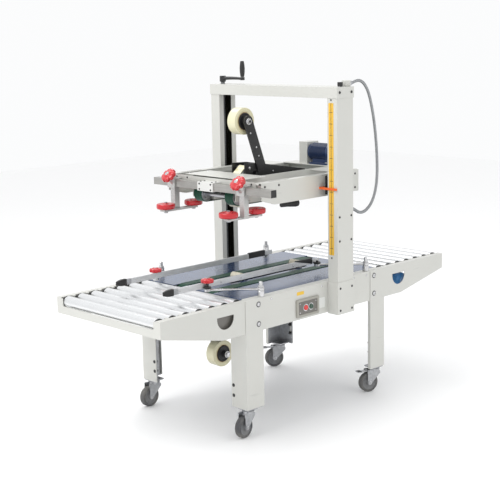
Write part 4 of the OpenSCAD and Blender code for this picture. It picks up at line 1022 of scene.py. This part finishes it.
# Each shaft's x, z, radius and half length, and the y of the sprocket on the two driven ones.
SHAFTS = {"lower_drive_shaft": (0.395, 0.567, 0.010, 0.162),
          "lower_idler_shaft": (-0.395, 0.567, 0.010, 0.150),
          "upper_drive_shaft": (0.285, 0.996, 0.008, 0.148),
          "upper_idler_shaft": (-0.273, 0.996, 0.008, 0.144)}
TOOTHED = {"lower_drive_shaft": -0.157, "upper_drive_shaft": 0.014}
for node, (x, z, radius, end) in SHAFTS.items():
    rod = turned([(-end, 0), (-end, radius - 0.001), (0.001 - end, radius), (end - 0.001, radius),
                  (end, radius - 0.001), (end, 0)], (x, 0, z), Y_AXIS, 28)
    drums = [turned(pulley(0.0326, radius), (x, y, z), Y_AXIS, 48) for y in (-0.100, 0.100)]
    teeth = []
    if node in TOOTHED:
        gear = [(0, radius), (0, 0.021), (0.0015, 0.0235), (0.0045, 0.0235), (0.006, 0.021), (0.006, radius),
                (0, radius)]
        teeth = [turned(gear, (x, TOOTHED[node], z), Y_AXIS, 72,
                        wave=lambda a, t, r: 1 + 0.02 * np.cos(18 * a))]
    dressed(f"{node}_and_drums", together(rod, *drums, *teeth), ZINC, node)

# %% [markdown]
# ## Switch, labels and height scale
#
# The switch sits in a shallow grey frame with a sunk dark plate and two round buttons. The stickers
# beside it stay blank, because their words aren't part of this lesson. The height scale is a thin
# golden strip on the near column.

# %% Switch frame and buttons
SWITCH_X, SWITCH_Z, FACE = -0.078, 0.510, -0.343


def switch_ring(half_x, half_z, radius, y):
    """One rounded rectangle of the switch frame at depth y."""
    flat = centred(SWITCH_X, SWITCH_Z, half_x, half_z, radius)
    return np.stack([flat[:, 0], np.full(len(flat), y), flat[:, 1]], -1)


# Rings as (half width, half height, corner radius, how far they stand out of the panel).
FRAME_RINGS = ((0.072, 0.040, 0.006, 0), (0.072, 0.040, 0.006, 0.0075), (0.0705, 0.0385, 0.005, 0.009),
               (0.0615, 0.0305, 0.004, 0.009), (0.060, 0.029, 0.003, 0.008), (0.060, 0.029, 0.003, 0.0052))
PLATE_RINGS = ((0.0588, 0.0278, 0.003, 0.0052), (0.0588, 0.0278, 0.003, 0.0062),
               (0.0580, 0.0270, 0.003, 0.0066))
for name, rows, finish in (("frame", FRAME_RINGS, SWITCH_GREY), ("plate", PLATE_RINGS, SWITCH_DARK)):
    rings = [switch_ring(*size, FACE - out) for *size, out in rows]
    piece(f"switch_{name}", stack(rings), finish, "frame", ["switch_box"])
corners = [[SWITCH_X + sx * 0.051, FACE - 0.0066, SWITCH_Z + sz * 0.020] for sx in (-1, 1) for sz in (-1, 1)]
piece("switch_screws", screw_heads(0.0032, 0.0018, NEAR, corners), BRIGHT_STEEL, "frame")
for x in (-0.017, 0.017):
    name = "stop" if x < 0 else "start"
    seat = turned(mm(0, 12.3, 0, 15.8, 1.2, 16.5, 3, 16, 3.6, 14, 3.2, 12.3, 0, 12.3),
                  (SWITCH_X + x, FACE - 0.0064, SWITCH_Z), NEAR, 36)
    piece(f"{name}_button_ring", seat, BRIGHT_STEEL, "frame")
    rise = turned(mm(0, 0, 0, 11.6, 7.2, 11.6, 8.4, 10.5, 8.8, 9, 8.2, 7.8, 7.8, 4, 7.7, 0),
                  (SWITCH_X + x, FACE - 0.0052, SWITCH_Z), NEAR, 36)
    dressed(f"{name}_button_cap", rise, BUTTON_RED if x < 0 else BUTTON_GREEN, f"{name}_button")


# %% Labels and height scale
def sticker(low, high, radius, y):
    """A thin rounded sheet on a wall that faces -Y; low and high are (x, z) corners."""
    return cut_plate(rounded(low, high, radius), y - 0.0005, y + 0.0002, "y")


piece("pale_label", sticker((0.000, 0.487), (0.040, 0.533), 0.003, FACE), BLANK_LABEL, "frame")
piece("yellow_label", sticker((-0.142, 0.569), (-0.097, 0.584), 0.002, FACE), YELLOW_LABEL, "frame")
SCALE_Y = (-0.379, -0.351)
strip = cut_plate(rounded((SCALE_Y[0], 0.721), (SCALE_Y[1], 1.392), 0.003), 0.0634, 0.0642, "x")
piece("height_scale_strip", strip, height_scale(sum(SCALE_Y) / 2), "frame")
print("height scale runs over", round(1.392 - 0.721, 3), "m")

# %% [markdown]
# ## Side guides
#
# Two rails keep the carton in line. Each rail hangs on two arms that turn about chromed posts, and
# the arm, rail and posts form a parallelogram. The arms are bright oval rods with a turned boss at
# each end. The rails stay as frame copies in brushed aluminium, with black shoes and slides.

# %% Guide arms
POST_X, POST_Y, GUIDE_Y, ARM_L = 0.345, 0.325, 0.170, 0.225
ARM_DY = POST_Y - GUIDE_Y
ARM_DX = math.sqrt(ARM_L ** 2 - ARM_DY ** 2)
ARM_Z, ARM_T = 0.627, 0.012


def bossed(radius, bore, place):
    """A bored boss with chamfered rims, as thick as the arm."""
    rim = [(0, bore), (0, radius - 0.001), (0.001, radius), (ARM_T - 0.001, radius), (ARM_T, radius - 0.001),
           (ARM_T, bore), (0, bore)]
    return turned(rim, place, Z_AXIS, 40)


def guide_arm(x):
    """An oval rod carried between two bosses, from the post at x to the rail's pivot."""
    start = np.array([x, -POST_Y, ARM_Z + 0.006])
    stop = np.array([x - ARM_DX, -GUIDE_Y, ARM_Z + 0.006])
    s = np.linspace(0.05, 0.95, 20)[:, None]
    line = start + (stop - start) * s
    a = np.linspace(0, 2 * np.pi, 20, endpoint=False)
    oval = np.stack([0.0085 * np.cos(a), 0.0052 * np.sin(a)], -1)
    return together(carried(line, oval, up=Z_AXIS), bossed(0.015, 0.0081, (x, -POST_Y, ARM_Z)),
                    bossed(0.014, 0.0061, (x - ARM_DX, -GUIDE_Y, ARM_Z)))


for end, x in (("front", -POST_X), ("rear", POST_X)):
    for side in ("near", "far"):
        shape = on_side(guide_arm(x), side)
        node = f"guide_arm_{side}_{end}"
        dressed(f"{node}_rod", shape, BRIGHT_STEEL, node)

# %% Guide rails
FRONT_X, REAR_X = -POST_X - ARM_DX, POST_X - ARM_DX
SHOE_X = FRONT_X - 0.232
shoe = within([SHOE_X - 0.001, -1, 0], [SHOE_X + 0.0701, 1, 1])
slide = within([REAR_X - 0.1301, -1, 0], [REAR_X - 0.0219, 1, 1])
lugs = lambda m: (np.abs(m[:, 1]) > 0.1601) & ~shoe(m)


def nosed(start, length):
    """A shoe of rounded section that grows from its tip by a factor of 0.55 + 0.45 sin(pi s / 2)."""
    s = np.linspace(0, 1, 9)
    grow = 0.55 + 0.45 * np.sin(np.pi * np.clip(s * 1.6, 0, 1) / 2)
    section = rounded((-0.008, -0.0145), (0.008, 0.0145), 0.003)
    rings = np.empty((9, len(section), 3))
    rings[..., 0] = (start + length * s)[:, None]
    rings[..., 1] = -0.155 + grow[:, None] * section[:, 0]
    rings[..., 2] = 0.652 + grow[:, None] * section[:, 1]
    return stack(rings)


for side in ("near", "far"):
    node = f"guide_rail_{side}"
    copied(node, f"{node}_bar", BRUSHED_RAIL, outside(shoe, slide, lugs))
    copied(node, f"{node}_slide", BLACK_PLASTIC, slide, soft=0.0015)
    nose = nosed(SHOE_X, 0.052)
    sleeve = cut_plate(rounded((-0.1615, 0.6395), (-0.1485, 0.6645), 0.003),
                       SHOE_X + 0.050, SHOE_X + 0.078, "x")
    for part, shell, finish in (("nose", nose, BLACK_PLASTIC), ("sleeve", sleeve, ZINC)):
        shell = on_side(shell, side)
        dressed(f"{node}_{part}", shell, finish, node, soft=0.001)
    copied(node, f"{node}_lugs", BLACK_COAT, lugs, soft=0.0006)
    rail_screws = [[x, -0.1601, 0.652] for x in (-0.655, -0.42, -0.30, -0.10, 0.03)]
    heads = screw_heads(0.0042, 0.0022, NEAR, rail_screws)
    piece(f"{node}_screws", on_side(heads, side), BRIGHT_STEEL, body_of_node(node))
print("guide rail spans x from", round(SHOE_X, 3), "to", round(REAR_X + 0.032, 3))

# %% [markdown]
# ## Knobs and press rollers
#
# A clamping knob is a lathe profile with a domed top, and its radius dips eight times round the
# rim for the fingers. The dip fades towards the middle, as in a moulded knob. The press rollers
# are plain glossy discs with rolled rims and a raised hub, and each has a bolt head below.

# %% Star knobs
def star_knob(radius, height, start, axis):
    """r = profile * (1 - 0.15 * s(a)), where s is a rounded dip repeated eight times, only near the rim."""
    p = [(0, 0), (0, 0.62), (0.02, 0.86), (0.10, 0.96), (0.30, 1.0), (0.68, 1.0), (0.86, 0.95), (0.96, 0.84),
         (1.0, 0.70), (1.02, 0.56), (1.10, 0.53), (1.15, 0.47), (1.165, 0.36), (1.12, 0.33),
         (1.10, 0.20), (1.10, 0)]
    profile = [(t * height, r * radius) for t, r in p]

    def scallop(a, t, r):
        dip = np.clip(np.cos(8 * a) * 1.35 - 0.1, 0, 1) ** 0.8
        return 1 - 0.15 * dip * np.clip((r / radius - 0.62) / 0.3, 0, 1)

    return turned(profile, start, axis, 128, wave=scallop)


def knob_set(name, node, shape, insert, side):
    """The red knob and its bright insert, on the near side or mirrored to the far side."""
    for part, shell, finish in (("star", shape, RED_GLOSS), ("insert", insert, BRIGHT_STEEL)):
        shell = on_side(shell, side)
        dressed(f"{name}_{part}_{side}", shell, finish, node)


INSERT = np.array([(0, 0), (0, 1), (0.8, 1), (1, 0.8), (1, 0)])
KNOB_Z = ARM_Z + ARM_T + 0.001 + 0.024 + 0.0003
BAR_X, BAR_Z, CARRIAGE_Y = -0.334, 1.042, 0.223
TILT = np.array([-math.sqrt(0.5), 0, math.sqrt(0.5)])
for side in ("near", "far"):
    at = np.array([FRONT_X, -GUIDE_Y, KNOB_Z])
    knob_set("guide_knob", f"guide_knob_{side}", star_knob(0.028, 0.0172, at, Z_AXIS),
             turned(INSERT * [0.0025, 0.0085], at + [0, 0, 0.0185], Z_AXIS, 6), side)
    at = np.array([BAR_X, -CARRIAGE_Y, BAR_Z]) + TILT * 0.039
    knob_set("carriage_knob", f"carriage_knob_{side}", star_knob(0.036, 0.0215, at, TILT),
             turned(INSERT * [0.003, 0.011], at + TILT * 0.0232, TILT, 6), side)

# %% Press rollers and their bolts
PRESS_R, PRESS_Y, PRESS_Z = 0.042, 0.203, 0.932
PRESS = mm(0, 5.2, 0, 30, 0.8, 38.5, 3.5, 41.2, 7.5, 42, 16.5, 42, 20.5, 41.2, 23.2, 38.8, 24, 35,
           22.8, 32, 22.2, 18, 23.6, 13, 25.6, 11, 26, 9.5, 26, 5.2, 0, 5.2)
for end, x in (("front", -0.408), ("rear", -0.243)):
    disc = turned(PRESS, (x, -PRESS_Y, PRESS_Z), Z_AXIS, 72)
    bolt = together(nuts(0.0095, 0.0062, (0, 0, -1), [[x, -PRESS_Y, PRESS_Z - 0.0121]]),
                    turned(mm(0, 0, 0, 10, 1.2, 10, 1.2, 0),
                           (x, -PRESS_Y, PRESS_Z - 0.0121), (0, 0, -1), 28))
    # Only the front bolts carry a top nut, because the upper belts pass just above the rear ones.
    top = nuts(0.0078, 0.005, Z_AXIS, [[x, -PRESS_Y, PRESS_Z + 0.0262]])
    for side in ("near", "far"):
        node = f"press_roller_{side}_{end}"
        dressed(f"{node}_disc", on_side(disc, side), RED_ROLLER, node)
        fixed = together(bolt, top) if end == "front" else bolt
        piece(f"{node}_bolt", on_side(fixed, side), ZINC, body_of_node(f"carriage_{side}"))

# %% Carriages
tilted_pin = lambda m: ((m - [BAR_X, 0, BAR_Z]) @ TILT > 0.0381)
for side in ("near", "far"):
    node = f"carriage_{side}"
    copied(node, f"{node}_casting", CAST_ALUMINIUM, outside(tilted_pin),
           soft=0.0012)
    copied(node, f"{node}_pin", BRIGHT_STEEL, tilted_pin, soft=0.0003)
    places = [[BAR_X + dx, -CARRIAGE_Y - 0.024, BAR_Z + dz]
              for dx in (-0.0195, 0.0185) for dz in (-0.0185, 0.0185)]
    heads = screw_heads(0.0022, 0.0014, NEAR, places)
    piece(f"{node}_screws", on_side(heads, side), BLACK_COAT, body_of_node(node))
print("press rollers:", 4, "of radius", PRESS_R)

# %% [markdown]
# ## The head
#
# The head is one welded frame in the model, but it has several finishes: white sheets, grey tubes,
# a steel crossbar with black end caps, dark slide blocks, an orange pointer and a black hand grip.
# Boxes in space tell the copies apart.

# %% Head frame by finish
pointer = within([0.050, -0.403, 1.010], [0.081, -0.3002, 1.024])
blocks = lambda m: (np.abs(m[:, 1]) > 0.3002) & (m[:, 0] > 0.0955) & (m[:, 0] < 0.139)
ahead = lambda m: m[:, 0] < -0.3051
bar_ends = lambda m: ahead(m) & ((m[:, 1] < -0.3895) | (m[:, 1] > 0.3395)) & \
    (np.abs(m[:, 0] - BAR_X) < 0.0131) & (np.abs(m[:, 2] - BAR_Z) < 0.0131)
tubes = lambda m: (np.hypot(m[:, 0] + 0.280, m[:, 2] - 1.050) < 0.0212) & (np.abs(m[:, 1]) > 0.139) & \
    (np.abs(m[:, 1]) < 0.2969)
grip = within([-0.088, -0.216, 0.930], [0.020, -0.184, 0.9768])
others = outside(pointer, blocks, ahead, tubes, grip)
copied("head_frame", "head_sheets", WHITE_COAT, others)
copied("head_frame", "height_pointer", POINTER_ORANGE, pointer)
copied("head_frame", "slide_blocks", BLACK_PLASTIC, blocks, soft=0.0015)
clamp_zone = lambda m: ahead(m) & (np.abs(m[:, 1]) < 0.0502)
copied("head_frame", "crossbar", BAR_STEEL, lambda m: ahead(m) & ~bar_ends(m) & ~clamp_zone(m), soft=0.001)
copied("head_frame", "crossbar_clamp", CLAMP_WHITE, clamp_zone, soft=0.001)
copied("head_frame", "front_tubes", BAR_STEEL, tubes)

# %% Bar ends, hand grip and head screws
for name, y0, y1 in (("near", -0.4, -0.3895), ("far", 0.3395, 0.35)):
    end = cut_plate(centred(BAR_X, BAR_Z, 0.0158, 0.0158, 0.003), y0, y1, "y")
    piece(f"bar_end_{name}", end, BLACK_PLASTIC, "head", ["head_frame"], soft=0.0014)
fine_t = np.linspace(0.001, 0.103, 80)
fine_r = np.interp(fine_t, (0, 0.012, 0.070, 0.104), (0.0165, 0.0175, 0.0110, 0.0095))
fine_r = fine_r + 0.0004 * np.sin(fine_t * 2 * np.pi / 0.0065)
BARREL = [(0, 0), (0, 0.0150)] + list(zip(fine_t, fine_r)) + [(0.104, 0.0080), (0.104, 0)]
barrel = turned(BARREL, (0.018, -0.200, 0.948), (-1, 0, 0), 36)
stem = turned(mm(0, 0, 0, 7, 29, 7, 29, 0), (0.008, -0.200, 0.948), Z_AXIS, 24)
piece("hand_grip", together(barrel, stem), BLACK_PLASTIC, "head", ["head_frame"])
clamp = [[-0.355 + 0.0008, y, BAR_Z + dz] for y in (-0.036, 0.036) for dz in (-0.012, 0.012)]
clamp_heads = screw_heads(0.0042, 0.0026, (-1, 0, 0), clamp)
top_clamp = screw_heads(0.0042, 0.0026, Z_AXIS, [[x, y, BAR_Z + 0.0199] for x in (-0.345, -0.322)
                                                   for y in (-0.036, 0.036)])
piece("clamp_screws", together(clamp_heads, top_clamp), BLACK_COAT, "head")
beam_screws = [[x, -0.300, 1.058] for x in (-0.285, -0.20, 0.21, 0.30)]
beam_screws += [[x, -0.300, 0.995] for x in (0.21, 0.30)]
front_screws = [[-0.305, y, 1.066] for y in (-0.24, -0.17, 0.17, 0.24)]
beam_heads = both(screw_heads(0.005, 0.003, NEAR, beam_screws))
front_heads = screw_heads(0.0045, 0.0026, (-1, 0, 0), front_screws)
piece("head_side_screws", together(beam_heads, front_heads), BLACK_COAT, "head")
guard_screws = [[x, y, 1.0821] for x in (-0.285, -0.175) for y in (-0.172, 0.172)]
piece("guard_screws", screw_heads(0.0045, 0.0025, Z_AXIS, guard_screws), BRIGHT_STEEL, "head")

# %% [markdown]
# ## Gear motors
#
# Each pair of belts has its own gear motor. The one on the head is a navy drum with cooling fins, a
# domed end cover and a terminal box. The one under the outfeed table is blue with fins that run
# lengthwise. A lathe whose radius steps along the axis makes the first, and one whose radius
# ripples round the axis makes the second.

# %% The head's motor
MOTOR = np.array([0.329, -0.013, 1.141])
fin_t = np.linspace(0.012, 0.108, 113)
fin_r = 0.0368 + 0.0048 * (np.abs((fin_t * 1000) % 6.0 - 3.0) < 1.4)
DRUM = mm(0, 0, 0, 36, 2, 38, 11, 38) + list(zip(fin_t, fin_r))
DRUM += mm(110, 39, 124, 39, 127.5, 36.5, 129.5, 30, 130, 18, 128.5, 16, 128.5, 0)
drum = turned(DRUM, MOTOR, NEAR, 56)
MIDDLE_Y = MOTOR[1] - 0.064
terminal = cut_plate(centred(MIDDLE_Y, MOTOR[2], 0.032, 0.024, 0.006),
                     MOTOR[0] + 0.020, MOTOR[0] + 0.047, "x")
lid = cut_plate(centred(MIDDLE_Y, MOTOR[2], 0.030, 0.022, 0.006), MOTOR[0] + 0.0475, MOTOR[0] + 0.0518, "x")
foot = cut_plate(centred(MOTOR[0], MIDDLE_Y, 0.037, 0.055, 0.005), 1.0842, 1.092, "z")
saddle = cut_plate(centred(MOTOR[0], MIDDLE_Y, 0.026, 0.046, 0.008), 1.091, 1.116, "z")
piece("head_motor_drum", drum, MOTOR_NAVY, "head", ["head_motor"], crease=28)
piece("head_motor_boxes", together(terminal, lid, foot, saddle), MOTOR_NAVY, "head", ["head_motor"],
      soft=0.0012)
feet = [[MOTOR[0] + dx, MOTOR[1] - dy, 1.0921] for dx in (-0.031, 0.031) for dy in (0.016, 0.112)]
cover = [[MOTOR[0] + 0.0518, MOTOR[1] - dy, MOTOR[2] + dz]
         for dy in (0.040, 0.088) for dz in (-0.017, 0.017)]
motor_screws = together(nuts(0.0055, 0.0045, Z_AXIS, feet), screw_heads(0.003, 0.002, X_AXIS, cover))
piece("head_motor_screws", motor_screws, ZINC, "head")

# %% The lower motor and the bed's frame
LOWER = np.array([0.635, -0.190, 0.505])
FLUTED = mm(0, 0, 0, 37.2, 2, 38, 12, 38, 12.5, 37.5, 95.5, 37.5, 96, 38, 112, 38, 118, 36.2,
            123.5, 30, 125, 18, 123.8, 16, 123.8, 0)


def flutes(a, t, r):
    """Twenty-eight cooling ribs along the axis, only between the two end shields."""
    middle = (t > 0.0122) & (t < 0.0958)
    return 1 - 0.11 * middle * (0.5 + 0.5 * np.tanh(4 * np.cos(28 * a)))


motor_zone = lambda m: (m[:, 0] > 0.59) & (m[:, 1] < -0.1901)
gear_zone = lambda m: (m[:, 0] > 0.59) & (m[:, 1] > -0.1902) & (m[:, 1] < -0.1659)
drum = turned(FLUTED, LOWER, NEAR, 168, wave=flutes)
piece("lower_motor_drum", drum, DRIVE_BLUE, "frame", ["bed_frame"])
copied("bed_frame", "bed_bearers", ZINC, outside(motor_zone, gear_zone))
copied("bed_frame", "lower_gearbox", CAST_ALUMINIUM, gear_zone, soft=0.003)

# %% [markdown]
# ## Tape cartridges
#
# A cartridge holds the tape roll between black side plates, and two sprung arms wipe the tape onto
# the carton. The roll is the most eye-catching part: a fat ring of film with fine rings on its
# sides, wound on a card core and held by a black hub with a washer and a nut.

# %% Cartridge plates, rods and screws
LID, LANE = 0.960, 0.603
CARTRIDGES = {"upper": (1, LID, (-0.128, 0.353)), "lower": (-1, LANE, (-0.291, 0.322))}
ROD_SPOTS = mm(-40, 60, 100, 60, -215, 70, 225, 85, -120, 145)
for name, (way, base, place) in CARTRIDGES.items():
    node, body = f"{name}_cartridge", body_of_node(f"{name}_cartridge")
    hub_x, hub_z = place[0], base + way * place[1]
    washers = lambda m, hub_x=hub_x, hub_z=hub_z: (np.hypot(m[:, 0] - hub_x, m[:, 2] - hub_z) < 0.0135) & \
        (np.abs(m[:, 1]) > 0.05002)
    rods = lambda m, hub_x=hub_x, hub_z=hub_z: (np.abs(m[:, 1]) < 0.0379) | \
        ((np.hypot(m[:, 0] - hub_x, m[:, 2] - hub_z) < 0.0079) & (m[:, 1] > -0.06))
    copied(node, f"{name}_cartridge_plates", BLACK_COAT, outside(washers, rods),
           soft=0.0007)
    copied(node, f"{name}_cartridge_rods", ZINC, rods, soft=0.0003)
    ends = [[x, -0.042, base + way * z] for x, z in ROD_SPOTS]
    twin = [[x, 0.042, base + way * z] for x, z in ROD_SPOTS]
    extra = [[x, -0.042, base + way * z]
             for x, z in ((-0.185, 0.050), (-0.14, 0.088), (0.03, 0.118), (0.16, 0.102),
                          (0.19, 0.035), (0.06, 0.040))]
    mast = [[-0.245, -0.050, 0.335], [-0.228, -0.050, 0.375], [-0.205, -0.050, 0.43]]
    if name == "upper":
        mast = [[hub_x + dx, -0.050, base + way * z]
                for dx, z in ((0.045, 0.235), (0.060, 0.195), (0.010, 0.300))]
    heads = together(screw_heads(0.0062, 0.0032, NEAR, ends), screw_heads(0.0062, 0.0032, Y_AXIS, twin),
                     screw_heads(0.0038, 0.0022, NEAR, extra), screw_heads(0.0045, 0.0026, NEAR, mast))
    piece(f"{name}_cartridge_screws", heads, BRIGHT_STEEL, body)
    nut = together(turned(mm(0, 0, 0, 15, 1.8, 15, 2.2, 14.3, 2.2, 0),
                          (hub_x, -0.0501, hub_z), NEAR, 32),
                   nuts(0.0125, 0.0068, NEAR, [[hub_x, -0.0522, hub_z]]),
                   turned(mm(0, 0, 0, 6.2, 4, 6.2, 4.5, 5.5, 4.5, 0),
                          (hub_x, -0.0535, hub_z), NEAR, 20))
    piece(f"{name}_hub_nut", nut, BRIGHT_STEEL, body, [node])

# %% Tape rolls and the web of tape
for name, (way, base, place) in CARTRIDGES.items():
    node = f"{name}_tape_roll"
    centre = (place[0], 0.0, base + way * place[1])
    film = wound_tape(f"{name}_tape_film", centre)
    roll = mm(-24, 40.2, -24, 59.4, -23.6, 60, 23.6, 60, 24, 59.4, 24, 40.2, -24, 40.2)
    core = mm(-23.8, 37.2, -23.8, 40.1, 23.8, 40.1, 23.8, 37.2, -23.8, 37.2)
    disc = mm(-29, 8.2, -29, 14.5, -27.8, 16, -26.2, 20, -26.2, 28.5, -29, 31, -29, 35.5, -28, 36.9,
              20, 36.9, 21.8, 35.5, 21.8, 32, 19, 29, 19, 17, 21.8, 15, 21.8, 8.2, -29, 8.2)
    neck = mm(-40.8, 8.2, -40.8, 15, -40, 15.8, -28.5, 15.8, -28.5, 8.2, -40.8, 8.2)
    body = body_of_node(node)
    piece(f"{name}_tape_film_ring", turned(roll, centre, Y_AXIS, 128), film, body, [node])
    piece(f"{name}_tape_core", turned(core, centre, Y_AXIS, 96), CARD_CORE, body, [node])
    piece(f"{name}_tape_hub", together(turned(disc, centre, Y_AXIS, 64), turned(neck, centre, Y_AXIS, 40)),
          BLACK_PLASTIC, body, [node])
    line = np.array([[-0.1080, 0.1390], [-0.1150, 0.1505], [-0.1245, 0.1508], [-0.1720, 0.1135],
                     [-0.2195, 0.0760], [-0.2225, 0.0680], [-0.2150, 0.0625]])
    line[:, 1] = base + way * line[:, 1]
    web_line = smooth_line(line, 10)
    web_path = np.stack([web_line[:, 0], np.zeros(len(web_line)), web_line[:, 1]], -1)
    web = carried(web_path, mm(-0.12, -23.5, 0.12, -23.5, 0.12, 23.5, -0.12, 23.5))
    piece(f"{name}_tape_web", web, film, body_of_node(f"{name}_cartridge"))

# %% Wiping arms
TIPS = {"front": -0.170, "rear": 0.215}
for name, (way, base, _) in CARTRIDGES.items():
    for end, tip in TIPS.items():
        node = f"{name}_{end}_arm"
        tip_z = base - way * 0.012
        roller = lambda m, tip=tip, tip_z=tip_z: (np.hypot(m[:, 0] - tip, m[:, 2] - tip_z) < 0.0172) & \
            (np.abs(m[:, 1]) < 0.02999)
        copied(node, f"{node}_plates", BLACK_COAT, outside(roller), soft=0.0006)
        ribs = np.linspace(-0.0285, 0.0285, 77)
        wave = 0.0168 + 0.0002 * np.cos(ribs * 2 * np.pi / 0.003)
        sleeve = [(-0.029, 0.0052), (-0.029, 0.0160)] + list(zip(ribs, wave))
        sleeve += [(0.029, 0.0160), (0.029, 0.0052), (-0.029, 0.0052)]
        dressed(f"{node}_roller", turned(sleeve, (tip, 0, tip_z), Y_AXIS, 40), WIPER_IVORY, node)
        tips = together(screw_heads(0.0065, 0.003, NEAR, [[tip, -0.034, tip_z]]),
                        screw_heads(0.0065, 0.003, Y_AXIS, [[tip, 0.034, tip_z]]))
        piece(f"{node}_screws", tips, BRIGHT_STEEL, body_of_node(node))
print("tape roll radius", 0.060, "and width", 0.048)

# %% [markdown]
# ## Floor and studio light
#
# The machine stands on a plain pale floor in a bright, even studio. The legs slide down out of a
# frame that stays put, so the floor rides on the legs' body and stays under the castors. A big soft
# key from the upper left gives the sheets their shape, a weaker fill opens the shadows, and a strip
# above draws a highlight along the rollers and rails. The surroundings are a plain light grey.

# %% Stage
floor_rings = [[(-9, -9, -0.004), (9, -9, -0.004), (9, 9, -0.004), (-9, 9, -0.004)],
               [(-9, -9, -0.0005), (9, -9, -0.0005), (9, 9, -0.0005), (-9, 9, -0.0005)]]
floor_points, floor_faces = stack(floor_rings)
floor_mesh = bpy.data.meshes.new("floor")
floor_mesh.from_pydata(floor_points.tolist(), [], floor_faces)
floor_mesh.materials.append(coated("pale_floor", (0.86, 0.86, 0.86), 0.6, grain=60.0, bump=0.02, drift=0.01,
                                   dust=0.0, scuff=0.0, Emission_Color=(1, 1, 1, 1),
                                   Emission_Strength=0.09))
floor = bpy.data.objects.new("floor", floor_mesh)
bpy.context.collection.objects.link(floor)
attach(floor, "legs")


def soft_light(name, place, target, size, power):
    """A square area light that looks at a point."""
    light = bpy.data.lights.new(name, "AREA")
    light.shape = "SQUARE"
    light.size = size
    light.energy = power
    obj = bpy.data.objects.new(name, light)
    way = (Vector(target) - Vector(place)).normalized()
    obj.matrix_world = Matrix.Translation(place) @ way.to_track_quat("-Z", "Y").to_matrix().to_4x4()
    bpy.context.collection.objects.link(obj)


soft_light("key", (-3.4, 0.6, 4.2), (0, 0, 0.7), 2.4, 95)
soft_light("fill", (1.5, -4.5, 2.6), (0.2, 0, 0.7), 3.0, 18)
soft_light("strip", (0.6, 1.8, 4.4), (0, 0, 0.8), 2.4, 40)
world = bpy.data.worlds.new("studio")
world.use_nodes = True
world.node_tree.nodes["Background"].inputs["Color"].default_value = (0.97, 0.975, 0.98, 1)
world.node_tree.nodes["Background"].inputs["Strength"].default_value = 1.0
bpy.context.scene.world = world
bpy.context.scene.view_settings.view_transform = "Standard"
